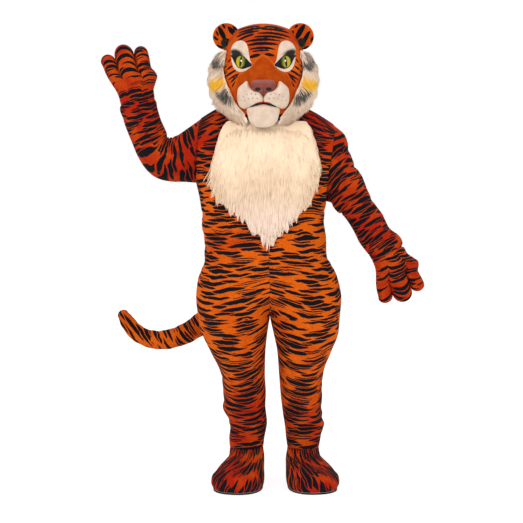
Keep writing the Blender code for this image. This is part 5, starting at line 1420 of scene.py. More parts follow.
def build_tail(skins):
    """A stuffed tube sewn to the seat, its root cut to lie on the back panels."""
    seat = tree_of([skins[side, "back"] for side in (RIGHT, LEFT)])
    grid = tail_rings(2 * math.pi * np.arange(TAIL_COLUMNS) / TAIL_COLUMNS)
    for k, point in enumerate(grid[0].copy()):
        hit = cast(seat, point * (1, 0, 1) + (0, FAR, 0), (0, -1, 0))
        grid[0, k] = hit[0] if hit else point
    level, slope = wrapped(grid), TAIL_PRINT["slope"]
    u = (level[..., 0] * math.cos(slope) - level[..., 2] * math.sin(slope)) / TAIL_PRINT["length"]
    v = (level[..., 0] * math.sin(slope) + level[..., 2] * math.cos(slope)) / TAIL_PRINT["pitch"]
    faces = grid_cells(*grid.shape[:2], wrap=True)
    piece = new_piece("plush_tail", grid, faces, PLUSH_ORANGE, ["tail"])
    add_print(piece, corner_values(np.stack([u, v], axis=-1) + PRINT_START["tail"]))
    even = np.ones(grid.shape[:2])
    add_values(piece, red=EVEN_RED["tail"] * even, bold=BOLD["tail"] * even)


def tail_swell(k, turn):
    """Soft dents where the stuffing has settled."""
    return 1 + sum(depth * np.sin(k * along + around * turn) for depth, along, around in TAIL_LUMPS)


# ------------------------------------------------------------------ head
def head_points(height, turn):
    """The head's surface, snout and all, at heights and turns from the front (radians, to the left)."""
    away = np.abs(turn)
    half, front, back = (read(HEAD, column, height) for column in ("half_width", "front", "back"))
    depth = np.where(away < math.pi / 2, front, back)
    power = 2 / HEAD_BLUNTNESS
    x = half * np.abs(np.sin(away)) ** power
    y = depth * np.abs(np.cos(away)) ** power
    out, width = read(SNOUT, "out", height), read(SNOUT, "half_width", height)
    y = y - np.where(away < math.pi / 2, out * np.exp(-((x / width) ** 3)), 0)
    return np.stack([np.sign(turn) * x + HEAD_X, y, height], axis=-1)


def head_rim(turn, below):
    """Where the head's open rim comes, just above the shoulders where it rests on them."""
    side_share = np.sin(turn) ** 2
    end = np.where(np.cos(turn) > 0, HEAD_RIM["front"], HEAD_RIM["back"])
    rim = end + (HEAD_RIM["side"] - end) * side_share
    for _ in range(HEAD_RIM["tries"]):
        for k, (x, y, z) in enumerate(head_points(rim, turn)):
            hit = cast(below, (x, y, z + HEAD_RIM["looks_from"]), (0, 0, -1))
            if hit is not None:
                rim[k] = max(rim[k], hit[0][2] + HEAD_CLEAR)
    return np.convolve(np.concatenate([rim[-3:], rim, rim[:3]]), np.ones(7) / 7, "valid")


def face_form(points):
    """Brows, eye sockets, cheekbones and the bridge, pressed out of or into the foam."""
    across, height = np.abs(points[..., 0] - HEAD_X), points[..., 2]
    total = np.zeros(across.shape)
    for form in rows_of(FACE_FORM):
        beside = bell((across - form["across"]) / form["half_width"])
        total += form["out"] * beside * bell((height - form["height"]) / form["half_height"])
    return total * ease((FACE_BEHIND - points[..., 1]) / FACE_FADE)


def stroke_depth(across, height, strokes):
    """How deep inside the nearest painted stroke each point is, in metres; below 0 is outside them all."""
    deepest = np.full(across.shape, -1.0)
    for first, second, thickness, bow in strokes:
        start, run = np.array(first), np.subtract(second, first)
        length = np.hypot(*run)
        ahead, beside = run / length, np.array((-run[1], run[0])) / length
        along = ((across - start[0]) * ahead[0] + (height - start[1]) * ahead[1]) / length
        off = (across - start[0]) * beside[0] + (height - start[1]) * beside[1]
        arch = np.clip(4 * along * (1 - along), 0, 1)
        past = length * np.maximum(np.maximum(-along, along - 1), 0)
        half = STROKE_SCALE * thickness / 2 * arch**STROKE_TAPER
        deepest = np.maximum(deepest, half - np.abs(off - bow * arch) - past)
    return deepest


def both_sides(strokes):
    """Strokes of one side, and the same on the other."""
    mirrored = [((-a[0], a[1]), (-b[0], b[1]), thickness, -bow) for a, b, thickness, bow in strokes]
    return [*strokes, *mirrored]


def head_rows(below):
    """Turns round the head and heights of its rows, closer together at the front and at the crown."""
    face = np.arange(0, HEAD_FACE, HEAD_STEP["face"])
    front = np.radians(np.concatenate([face, np.arange(HEAD_FACE, 180.1, HEAD_STEP["behind"])]))
    turn = np.concatenate([front, -front[-2:0:-1]])
    rim = head_rim(turn, below)
    share = np.sin(np.linspace(0, math.pi / 2, HEAD_LEVELS))[:, None] ** HEAD_CROWDING
    return turn, rim + (HEAD["key"][-1] - rim) * share


def head_prints(turn, height):
    """The print's corners: its streaks run round the head, and half round it starts anew."""
    u = np.abs(turn)[None] * HEAD_PRINT["radius"] / STREAK + HEAD_PRINT["other_side"] * (turn < 0)
    u = wrapped(u + 0 * height)
    v = wrapped(height / HEAD_PITCH + HEAD_PRINT["slant"] * np.abs(turn))
    corners = corner_values(np.stack([u, v], axis=-1)).reshape(-1, 2)
    crown = ((HEAD_PRINT["crown"], HEAD["key"][-1] / HEAD_PITCH),) * 3
    return np.concatenate([corners, np.tile(crown, (len(turn), 1))])


def build_head(below):
    """The hollow head. Returns its outside, carried on below the rim for the fur there."""
    turn, height = head_rows(below)
    grid = head_points(height, np.broadcast_to(turn, height.shape))
    out = sewn_normals([(grid, True, False)])[0]
    grid = grid + out * face_form(grid)[..., None]
    columns = len(turn)
    points = np.concatenate([grid.reshape(-1, 3), [(HEAD_X, 0.0, CROWN)]])
    last = len(points) - 1 - columns
    faces = grid_cells(*grid.shape[:2], wrap=True).tolist()
    faces += [(last + j, last + (j + 1) % columns, len(points) - 1) for j in range(columns)]
    piece = new_piece("plush_head", points, faces, HEAD_PLUSH, ["head_shell"])
    add_print(piece, head_prints(turn, height))
    paint_head(piece, points)
    add_wall(piece, HEAD_WALL)
    skirt = head_points(HEAD["key"][0] - HEAD_SKIRT + 0 * turn, turn)
    return np.concatenate([[skirt], grid]), True, False


def paint_head(piece, points):
    """Marks for the head's material: the strokes painted by hand, where they are, the plain snout, and a
    painted highlight along the snout's upper rim.
    """
    across, height = points[:, 0] - HEAD_X, points[:, 2]
    facing = points[:, 1] < PAINTED["in_front_of"]
    depth = stroke_depth(across, height, both_sides(CHEEK_STROKES) + list(BROW_STROKES))
    drawn = ease((PAINTED["half_width"] - np.abs(across)) / PAINTED["fade"])
    drawn = drawn * ease((PAINTED["in_front_of"] - points[:, 1]) / PAINTED["fade_behind"])
    inside = (read(SNOUT_PAINT, "half_width", height) - np.abs(across)) / SNOUT_RIM["width"]
    snout = np.where(facing, ease(inside / 2 + 0.5), 0)
    # Painted highlight: a band along the snout's rim, kept to its upper part.
    edge = np.where(facing, bell(inside + SNOUT_RIM["out"]), 0)
    edge = edge * ease((height - SNOUT_RIM["from"]) / SNOUT_RIM["fade"])
    red = HEAD_RED["face"] + HEAD_RED["top"] * ease((height - HEAD_RED["from"]) / HEAD_RED["fade"])
    add_values(piece, stroke=depth * CENTIMETRES, drawn=drawn, snout=snout, edge=edge, red=red)


# ------------------------------------------------------------------ pads of the face
def pad_ground(tree, places, rings, side):
    """Where a pad's places lie on the head, and the way out of it, evened round each ring."""
    hits = [cast(tree, (HEAD_X + side * x, -FAR, z), (0, 1, 0)) for x, z in places]
    under, out = (np.array([hit[k] for hit in hits]) for k in (0, 1))
    out = unit(out + PAD_FACING)
    rows = out[1:].reshape(rings, -1, 3)
    for _ in range(PAD_EVENED):
        rows = (rows + np.roll(rows, 1, axis=1) + np.roll(rows, -1, axis=1)) / 3
    return under, unit(np.concatenate([out[:1], rows.reshape(-1, 3)]))


def pad_faces(rings, count):
    """Faces of rings of points round a middle one, and those of the closed pad with both its sides."""
    ring = np.arange(count)
    after = np.roll(ring, -1)
    faces = [(0, 1 + a, 1 + b) for a, b in zip(ring, after)]
    for near in range(1, 1 + (rings - 1) * count, count):
        faces += [(near + a, near + count + a, near + count + b, near + b) for a, b in zip(ring, after)]
    last, total = 1 + (rings - 1) * count, 1 + rings * count
    closed = faces + [tuple(total + k for k in reversed(face)) for face in faces]
    closed += [(last + b, last + a, total + last + a, total + last + b) for a, b in zip(ring, after)]
    return faces, closed


def pad_piece(kind, name, tree, side, node, material, slot):
    """A sewn-on pad with its back in the head. Returns a tree of its outside."""
    pad = PADS[kind]
    shape, middle = flowing(np.array(pad["outline"]), pad["cells"], closed=True), np.array(pad["centre"])
    levels = np.linspace(0, 1, pad["rings"])[1:]
    places = np.concatenate([[middle], *[middle + (shape - middle) * level for level in levels]])
    level = np.concatenate([[0.0], np.repeat(levels, len(shape))])
    under, out = pad_ground(tree, places, len(levels), side)
    rise = (1 - level ** pad["crown"]) ** (1 / pad["crown"])
    height = pad["edge"] + (pad["thickness"] - pad["edge"]) * rise
    outer = under + out * height[:, None]
    faces, closed = pad_faces(len(levels), len(shape))
    if np.cross(shape[0] - middle, shape[1] - middle) * side < 0:
        faces, closed = ([tuple(reversed(face)) for face in some] for some in (faces, closed))
    points = np.concatenate([outer, under - out * PAD_SUNK])
    piece = new_piece(name, points, closed, material, [node])
    piece.data.set_sharp_from_angle(angle=PAD_SHARP)
    across, up = np.tile(places * CENTIMETRES, (2, 1)).T
    add_values(piece, across=across, up=up)
    return BVHTree.FromPolygons(outer.tolist(), faces)


class FirstHit:
    """Several trees as one, whose rays stop at the first of them."""

    def __init__(self, *trees):
        self.trees = trees

    def ray_cast(self, origin, direction):
        hits = [tree.ray_cast(origin, direction) for tree in self.trees]
        hits = [hit for hit in hits if hit[0] is not None]
        return min(hits, key=lambda hit: hit[3]) if hits else (None, None, None, None)


def build_face(tree):
    """The pieces sewn or set on the front of the head."""
    muzzles, felt = [], (FELT, "felt_white")
    for side in (RIGHT, LEFT):
        name = side_name(side)
        patch = pad_piece("eye_patch", f"felt_eye_patch_{name}", tree, side, f"eye_patch_{name}", *felt)
        around = FirstHit(tree, patch)
        pad_piece("eye", f"eye_ball_{name}", around, side, f"eye_{name}", EYE_GLOSS, "eye_gloss")
        muzzles.append(pad_piece("muzzle", f"felt_muzzle_{name}", tree, side, f"muzzle_{name}", *felt))
    pad_piece("chin", "felt_chin", tree, LEFT, "chin", *felt)
    pad_piece("nose", "vinyl_nose", FirstHit(tree, *muzzles), LEFT, "nose", NOSE_VINYL, "nose_brown")
    build_mouth(FirstHit(tree, *muzzles))
    build_whiskers(FirstHit(*muzzles))


def ribbon(tree, line, widths, rise):
    """Points and faces of a flat band laid on a surface along a line of (offset, height) places."""
    places = flowing(np.array(line), MOUTH["cells"])
    widths = np.interp(np.linspace(0, 1, len(places)), np.linspace(0, 1, len(widths)), widths)
    ahead = unit(np.gradient(places, axis=0))
    beside = np.stack([-ahead[:, 1], ahead[:, 0]], axis=1)
    rows = []
    for offset in (-1.0, -0.5, 0.0, 0.5, 1.0):
        spot = places + beside * (widths * offset / 2)[:, None]
        bulge = rise * (1 - MOUTH["edges_lower"] * abs(offset))
        row = []
        for x, z in spot:
            point, normal = cast(tree, (HEAD_X + x, -FAR, z), (0, 1, 0))
            row.append(point + unit(normal + (0, -0.5, 0)) * bulge)
        rows.append(row)
    return np.array(rows)


def build_mouth(tree):
    """The lips: a thin dark line under the muzzle and a little red above its middle."""
    for name, line, widths, rise, material in (
        ("lip_line", MOUTH["line"], MOUTH["widths"], MOUTH["rise"], LIP_BLACK),
        ("lip_red", MOUTH["lip"], MOUTH["lip_widths"], MOUTH["lip_rise"], LIP_RED),
    ):
        grid = ribbon(tree, line, widths, rise)
        piece = new_piece(name, grid, grid_cells(*grid.shape[:2]), material, [])
        add_wall(piece, LIP_WALL)


def build_whiskers(tree):
    """Two rows of whisker spots on each side of the muzzle, each a small stitched dot."""
    points, faces = [], []
    for side in (RIGHT, LEFT):
        for across, height in WHISKER_SPOTS:
            hit = cast(tree, (HEAD_X + side * across, -FAR, height), (0, 1, 0))
            if hit is None:
                continue
            spot, out = hit
            first = unit(np.cross(out, (0, 0, 1)))
            second = np.cross(out, first)
            start = len(points)
            points.append(spot + out * WHISKER["rise"])
            for turn in np.linspace(0, 2 * math.pi, WHISKER["sides"], endpoint=False):
                around = first * math.cos(turn) + second * math.sin(turn)
                points.append(spot + around * WHISKER["radius"] + out * WHISKER["rim_rise"])
            for k in range(WHISKER["sides"]):
                faces.append((start, start + 1 + k, start + 1 + (k + 1) % WHISKER["sides"]))
    new_piece("whisker_spots", points, faces, LIP_BLACK, [])


# ------------------------------------------------------------------ ears
def ear_feet(side, centre, tree):
    """Where each face of an ear is sewn to the head, from its outer end over to its inner one."""
    feet = {face: [] for face in EAR_FACES}
    towards = np.array((HEAD_X + side * EAR_FOOT["across"], 0.0, EAR_FOOT["height"]))
    for t in np.linspace(*EAR_SEAM, EAR_CELLS["round"] + 1):
        away = np.array((side * math.cos(t), 0.0, math.sin(t)))
        target = centre + EAR_FOOT["share"] * EAR["radius"] * away
        target = target - np.array((side, 0, 1)) * EAR_FOOT["inside"]
        inward = unit((target - towards) * (-1, 0, -1))
        for face, offset in EAR_FACES.items():
            hit = cast(tree, target - inward * EAR_FOOT["looks_from"] + (0, offset, 0), inward)
            feet[face].append(hit[0] + inward * EAR_FOOT["sunk"])
    return {face: np.array(points) for face, points in feet.items()}


def ear_grid(side, tree):
    """Rows up the front of a cupped ear, over its rim and down its back."""
    centre = np.array((HEAD_X + side * EAR["across"], EAR["y"], EAR["height"]))
    turns = np.linspace(*EAR_RIM, EAR_CELLS["round"] + 1)
    rim = centre + EAR["radius"] * np.stack([side * np.cos(turns), 0 * turns, np.sin(turns)], axis=1)
    across = np.sin(np.linspace(0, math.pi, EAR_CELLS["round"] + 1))
    steps = np.linspace(0, 1, EAR_CELLS["up"] + 1)
    rows = []
    for face, foot in ear_feet(side, centre, tree).items():
        for t in steps if face == "front" else steps[::-1]:
            lean = EAR["lean"] * t
            row = foot + (rim + (0, EAR_FACES[face] * (1 - EAR["thins"] * t) - lean, 0) - foot) * t
            past = (t - EAR["round_from"]) / EAR["round_over"]
            if past > 0:
                middle = rim[:, 1] - lean + EAR["middle"]
                row[:, 1] = middle + (row[:, 1] - middle) * math.sqrt(max(0.0, 1 - past**2))
            rows.append(row + np.outer(EAR["cup"] * math.sin(math.pi * t) * across, (0, 1, 0)))
    grid = np.array(rows)
    ripple = np.sin(grid[..., 0] * EAR_RIPPLE["across"]) * np.cos(grid[..., 2] * EAR_RIPPLE["up"])
    grid[..., 1] += EAR_RIPPLE["depth"] * ripple
    return grid


def build_ear(side, tree):
    """A round cupped ear sewn along the upper corner of the head."""
    grid, name = ear_grid(side, tree), side_name(side)
    x, z = (grid[..., 0] - HEAD_X) * side, grid[..., 2]
    faces = grid_cells(*grid.shape[:2])
    corners = corner_values(np.stack([x / STREAK, z / HEAD_PITCH], axis=-1) + PRINT_START["ear"])
    if side == LEFT:
        faces, corners = faces[:, ::-1], corners[:, ::-1]
    piece = new_piece(f"plush_ear_{name}", grid, faces, HEAD_PLUSH, [f"ear_{name}"])
    add_print(piece, corners)
    front = np.arange(len(grid))[:, None] <= EAR_CELLS["up"]
    depth = stroke_depth(x, z, EAR_STROKES[side])
    none = 0 * x
    add_values(piece, stroke=depth * CENTIMETRES, drawn=front + none, red=EAR["red"] + none)
    add_values(piece, snout=none, edge=none)


# ------------------------------------------------------------------ fur
def node_skin(node):
    """A node's points (heights above the floor) and triangles, with points at one place made one."""
    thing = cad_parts[node]
    matrix = np.array(thing.matrix_world)
    points = np.array([vertex.co for vertex in thing.data.vertices]) @ matrix[:3, :3].T + matrix[:3, 3]
    points += (0, 0, ORIGIN_HEIGHT)
    _, first, shared = np.unique(np.round(points, 5), axis=0, return_index=True, return_inverse=True)
    shared = shared.reshape(-1)
    faces = [tuple(int(shared[k]) for k in polygon.vertices) for polygon in thing.data.polygons]
    return points[first], [face for face in faces if len(set(face)) == len(face)]


def rounded_mesh(skin, material):
    """The skin's mesh, smoothed."""
    smooth = skin.modifiers.new("smooth", "SUBSURF")
    smooth.levels = smooth.render_levels = FUR_SKIN_LEVELS
    depsgraph = bpy.context.evaluated_depsgraph_get()
    rounded = bpy.data.meshes.new_from_object(skin.evaluated_get(depsgraph))
    skin.modifiers.remove(smooth)
    rounded.materials.clear()
    rounded.materials.append(material)
    return rounded


def fur_skin(name, node, material, style, lean=None):
    """The rounded pad that fur grows from, in place of its solid. Returns its points, normals, triangles."""
    points, faces = node_skin(node)
    base, keep = style.get("keep", (0.0, 1.0))
    points[:, 2] = base + (points[:, 2] - base) * keep
    if lean is not None:
        points[:, 0] += lean(points[:, 0], points[:, 2])
    skin = new_piece(name, points, faces, material, [node])
    rounded = skin.data = rounded_mesh(skin, material)
    rounded.shade_smooth()
    rounded.calc_loop_triangles()
    corners = np.array([triangle.vertices[:] for triangle in rounded.loop_triangles])
    points = np.array([vertex.co for vertex in rounded.vertices]) + (0, 0, ORIGIN_HEIGHT)
    normals = np.array([vertex.normal for vertex in rounded.vertices])
    points = points - normals * style["inset"]
    places = (points - (0, 0, ORIGIN_HEIGHT)).astype(np.float32)
    rounded.vertices.foreach_set("co", places.reshape(-1))
    add_values(skin, **fur_marks(points, 0.5 + 0 * points[:, 0]))
    return points, normals, corners


def scattered(skin, style, rng, away):
    """Random roots all over a skin but where away(points, normals) is too much, with the normals there."""
    count = style["count"]
    points, normals, corners = skin
    a, b, c = (points[corners[:, k]] for k in range(3))
    area = np.linalg.norm(np.cross(b - a, c - a), axis=1)
    middle = (a + b + c) / 3
    area = np.where(away(middle, unit(np.cross(b - a, c - a))) < style["facing"], area, 0)
    chosen = rng.choice(len(area), count, p=area / area.sum())
    first, second = rng.random(count), rng.random(count)
    over = first + second > 1
    first, second = np.where(over, 1 - first, first), np.where(over, 1 - second, second)
    parts = np.stack([1 - first - second, first, second], axis=1)[..., None]
    roots = (points[corners[chosen]] * parts).sum(axis=1)
    return roots, unit((normals[corners[chosen]] * parts).sum(axis=1))


def differing(count, least_and_more, rng):
    """Random factors, from the least to so much more."""
    least, more = least_and_more
    return least + more * rng.random(count)


def lifted(places, tree, rise):
    """The same places, none of them less than rise out of the tree."""
    for k, place in enumerate(places):
        near, out, _, _ = tree.find_nearest(Vector(place))
        out = np.array(out)
        height = (place - np.array(near)) @ out
        if height < rise:
            places[k] += out * (rise - height)
    return places


def grow(roots, ways, normals, tree, style, rng, most=1.0):
    """Strands as points along each, at most so long: they start along their ways, droop, lie on the rest."""
    steps, count = style["steps"], len(roots)
    lengths = style["length"] * style.get("jaw_length", 1) * differing(count, STRAND["lengths"], rng)
    lengths = np.minimum(lengths, most)
    ways = unit(ways + rng.normal(0, style["stray"], (count, 3)))
    curl = rng.normal(0, style["curl"], (count, 3))
    strands = np.zeros((count, steps + 1, 3))
    strands[:, 0] = roots - normals * STRAND["rooted"]
    heading = unit(ways + normals * style["lift"])
    for step in range(1, steps + 1):
        share = step / steps
        heading = heading + ways * STRAND["steady"] + curl * share
        heading = unit(heading + np.array((0, 0, -style["droop"])) * share)
        rise = style["rise"] * math.sin(math.pi * (STRAND["arch"][0] + STRAND["arch"][1] * share))
        strands[:, step] = lifted(strands[:, step - 1] + heading * (lengths / steps)[:, None], tree, rise)
    return strands


def gather(strands, roots, style, pull, rng):
    """Draws strands together towards the middle ones of their locks, most at the tips."""
    count = len(roots)
    leaders = rng.choice(count, max(1, int(count * style["locks"])), replace=False)
    finder = KDTree(len(leaders))
    for k, leader in enumerate(leaders):
        finder.insert(roots[leader], k)
    finder.balance()
    nearest = np.array([leaders[finder.find(root)[1]] for root in roots])
    share = np.linspace(0, 1, strands.shape[1]) ** LOCK["late"]
    target = strands[nearest] + (roots - roots[nearest])[:, None] * LOCK["apart"]
    weight = (share[None] * np.broadcast_to(pull, (count,))[:, None])[..., None]
    return strands + (target - strands) * weight, nearest


def fur_marks(points, shade):
    """How light and which colour the fur is at these points."""
    away, height = np.abs(points[:, 0] - HEAD_X), points[:, 2]
    marks = {"grey": 0 * away, "ochre": 0 * away, "blush": 0 * away, "pale": 0 * away}
    for name, across, middle, half_width, half_height, tilt, strength in FUR_PATCHES:
        turn = math.radians(tilt)
        first = (away - across) * math.cos(turn) + (height - middle) * math.sin(turn)
        second = (height - middle) * math.cos(turn) - (away - across) * math.sin(turn)
        spot = np.exp(-((first / half_width) ** 2) - (second / half_height) ** 2) * strength
        marks[name] = np.maximum(marks[name], spot)
    return {"shade": shade, **marks}


def lock_shades(nearest, by_lock, rng):
    """How light each strand is, partly the same all over its lock."""
    lock = rng.random(len(nearest))[nearest]
    return by_lock * lock + (1 - by_lock) * rng.random(len(nearest))


def fur_piece(name, strands, normals, style, shade, rng, material):
    """Fur as tapering ribbons, each turned to lie along the skin."""
    count, levels = strands.shape[:2]
    widths = style["width"] * differing(count, STRAND["widths"], rng)
    ahead = unit(np.gradient(strands, axis=1))
    beside = unit(np.cross(ahead, normals[:, None]))
    taper = np.interp(np.linspace(0, 1, levels), *STRAND["taper"])
    half = beside * (widths[:, None] * taper[None] / 2)[..., None]
    points = np.stack([strands - half, strands + half], axis=2).reshape(-1, 3)
    first = (np.arange(count)[:, None] * levels + np.arange(levels - 1)[None]).reshape(-1) * 2
    faces = np.stack([first, first + 1, first + 3, first + 2], axis=1)
    piece = new_piece(name, points, faces, material, [])
    middle = np.repeat(strands.mean(axis=1), levels * 2, axis=0)
    add_values(piece, **fur_marks(middle, np.repeat(shade, levels * 2)))
    add_values(piece, along=np.tile(np.repeat(np.linspace(0, 1, levels), 2), count))


def bib_lean(across, height):
    """How far the low part of the bib hangs over to the wearer's left, its other edge more than its tip."""
    side = np.clip((HEAD_X - across) / BIB_LEAN["reach"], 0, 1)
    return ease((BIB_LEAN["top"] - height) / BIB_LEAN["depth"]) * (BIB_LEAN["tip"] + BIB_LEAN["edge"] * side)


def bib_ways(edge, height):
    """The way the bib's fur falls: outwards at its shoulders, straight down and inwards lower down."""
    low, wisps, shoulder, top = (ramp(height, *BIB_HEIGHTS[part]) for part in BIB_HEIGHTS)
    wisps = BIB_WAYS["wisps"] * ramp(-edge, *BIB_EDGES["wisps"]) * wisps
    shoulder = BIB_WAYS["shoulder"] * np.sign(edge) * ramp(np.abs(edge), *BIB_EDGES["shoulder"]) * shoulder
    spread = edge * BIB_WAYS["even"] * (1 - BIB_WAYS["inwards"] * low)
    spread = spread + edge**7 * BIB_WAYS["edge"] * (1 - low) + shoulder - wisps
    fall = BIB_WAYS["slower"] * top - 1
    return unit(np.stack([spread, 0 * edge - BIB_WAYS["forward"], fall], axis=1))


def bib_tufts(across):
    """How far the tufts of the bib's lower edge hang, which differ along it."""
    tuft = (0.5 + 0.5 * np.sin(across * 205 + 2.5 * np.sin(across * 61))) ** 1.5
    shortest, longest = BIB_FUR["tuft"]
    return shortest + (longest - shortest) * tuft


def build_bib(rng, chest):
    """The long straight fur of the chest, falling from under the head to a ragged point."""
    skin = fur_skin("bib_skin", "bib", FUR_CREAM, BIB_FUR, bib_lean)
    roots, normals = scattered(skin, BIB_FUR, rng, lambda middle, out: out[:, 1])
    across, height = roots[:, 0], roots[:, 2]
    upright = across.copy()
    for _ in range(BIB_LEAN["tries"]):
        upright = across - bib_lean(upright, height)
    edge = np.clip((upright - HEAD_X) / read(BIB_WIDTH, "half_width", height), -1, 1)
    outline = [BIB_WIDTH[column][:BIB_WIDEST] for column in ("half_width", "key")]
    above = height - np.interp(np.abs(upright - HEAD_X), *outline)
    most = np.clip(above + bib_tufts(across), BIB_FUR["shortest"], 1)
    strands = grow(roots, bib_ways(edge, height), normals, fur_tree(skin, chest), BIB_FUR, rng, most)
    ragged = np.maximum(np.abs(edge) ** 4 * BIB_PULL["edge"], ramp(above, *BIB_PULL["low"]))
    strands, nearest = gather(strands, roots, BIB_FUR, BIB_PULL["even"] + BIB_PULL["ragged"] * ragged, rng)
    shade = lock_shades(nearest, BIB_FUR["by_lock"], rng)
    fur_piece("bib_fur", strands, normals, BIB_FUR, shade, rng, FUR_CREAM)


def fur_tree(skin, below):
    """What fur lies on: its own skin and the cloth about it, as one tree."""
    points, _, corners = skin
    faces = corners.tolist()
    if below:
        cloth, cells = joined(below)
        faces += (len(points) + cells).tolist()
        points = np.concatenate([points, cloth])
    return BVHTree.FromPolygons(points.tolist(), faces)


def cheek_ways(side, roots, level, jaw):
    """Back and out at the temple, straight down at the jaw, and inwards beside the muzzle."""
    inner = ramp(side * (roots[:, 0] - HEAD_X), *CHEEK_INNER["across"])
    inner = inner * ramp(roots[:, 2], *CHEEK_INNER["height"])
    out = CHEEK_WAYS["out"] - CHEEK_WAYS["jaw"] * jaw - CHEEK_WAYS["temple"] * ramp(level, *CHEEK_TEMPLE)
    ways = np.outer(out, (side, CHEEK_WAYS["back"], 0.0))
    ways = ways + np.outer(inner, (-side, -CHEEK_WAYS["forward"], 0.0))
    return ways + (0, 0, -CHEEK_WAYS["down"])


def build_cheek(side, rng, below):
    """Long fur down the side of the head, brushed back and out, in loose locks at the jaw."""
    name = side_name(side)
    skin = fur_skin(f"cheek_skin_{name}", f"cheek_ruff_{name}", FUR_WHITE, CHEEK_FUR)

    def inward(middle, out):
        return -(unit((middle - (HEAD_X, 0.0, 0.0)) * (1, 1, 0)) * out).sum(axis=1)

    roots, normals = scattered(skin, CHEEK_FUR, rng, inward)
    level = (roots[:, 2] - CHEEK_FOOT) / CHEEK_RISE
    jaw = ramp(level, *CHEEK_JAW)
    ways = cheek_ways(side, roots, level, jaw)
    ways = ways - (ways * normals).sum(axis=1)[:, None] * normals
    lying = np.clip(np.linalg.norm(ways, axis=1) / CHEEK_LYING["whole"], CHEEK_LYING["least"], 1)
    most = CHEEK_FUR["length"] * (1 + (CHEEK_FUR["jaw_length"] - 1) * jaw) * lying
    strands = grow(roots, unit(ways), normals, fur_tree(skin, below), CHEEK_FUR, rng, most)
    strands, nearest = gather(strands, roots, CHEEK_FUR, CHEEK_PULL["even"] + CHEEK_PULL["jaw"] * jaw, rng)
    shade = lock_shades(nearest, CHEEK_FUR["by_lock"], rng)
    fur_piece(f"cheek_fur_{name}", strands, normals, CHEEK_FUR, shade, rng, FUR_WHITE)


def build_tuft(side, rng):
    """Dark fur in the cup of an ear."""
    name = side_name(side)
    skin = fur_skin(f"ear_skin_{name}", f"ear_inner_{name}", TUFT_DARK, TUFT_FUR)
    roots, normals = scattered(skin, TUFT_FUR, rng, lambda middle, out: out[:, 1])
    low = skin[0].min(axis=0)
    centre = np.array((HEAD_X + side * TUFT_FUR["across"], low[1], low[2] - TUFT_FUR["below"]))
    ways = unit((roots - centre) * (1, 0, 1)) + (0, -TUFT_FUR["forward"], 0)
    strands = grow(roots, unit(ways), normals, fur_tree(skin, []), TUFT_FUR, rng)
    strands, _ = gather(strands, roots, TUFT_FUR, TUFT_FUR["pull"], rng)
    shade = rng.random(len(roots))
    fur_piece(f"ear_fur_{name}", strands, normals, TUFT_FUR, shade, rng, TUFT_DARK)


def build_fur(skins, head):
    rng = np.random.default_rng(FUR_SEED)
    cloth = list(skins.values())
    build_bib(rng, cloth)
    for side in (RIGHT, LEFT):
        build_cheek(side, rng, [*cloth, head])
        build_tuft(side, rng)


# ------------------------------------------------------------------ materials
class Ink:
    """A number in a material. Sums with it add the nodes that work them out."""

    def __init__(self, look, socket):
        self.look, self.socket = look, socket

    def sum_of(self, operation, *others):
        node = self.look.add("Math", self, *others)
        node.operation = operation
        return Ink(self.look, node.outputs[0])

    def __add__(self, other):
        return self.sum_of("ADD", other)

    def __sub__(self, other):
        return self.sum_of("SUBTRACT", other)

    def __mul__(self, other):
        return self.sum_of("MULTIPLY", other)

    def __truediv__(self, other):
        return self.sum_of("DIVIDE", other)

    def __pow__(self, other):
        return self.sum_of("POWER", other)

    def floor(self):
        return self.sum_of("FLOOR")

    def size(self):
        return self.sum_of("ABSOLUTE")

    def most(self, other):
        return self.sum_of("MAXIMUM", other)

    def least(self, other):
        return self.sum_of("MINIMUM", other)

    def rest(self):
        """What is left of 1."""
        return self * -1.0 + 1.0

    def between(self, low, high, to_low=0.0, to_high=1.0):
        """Eased from to_low to to_high as this goes from low to high."""
        node = self.look.add("MapRange", self, low, high, to_low, to_high)
        node.interpolation_type = "SMOOTHSTEP"
        return Ink(self.look, node.outputs[0])


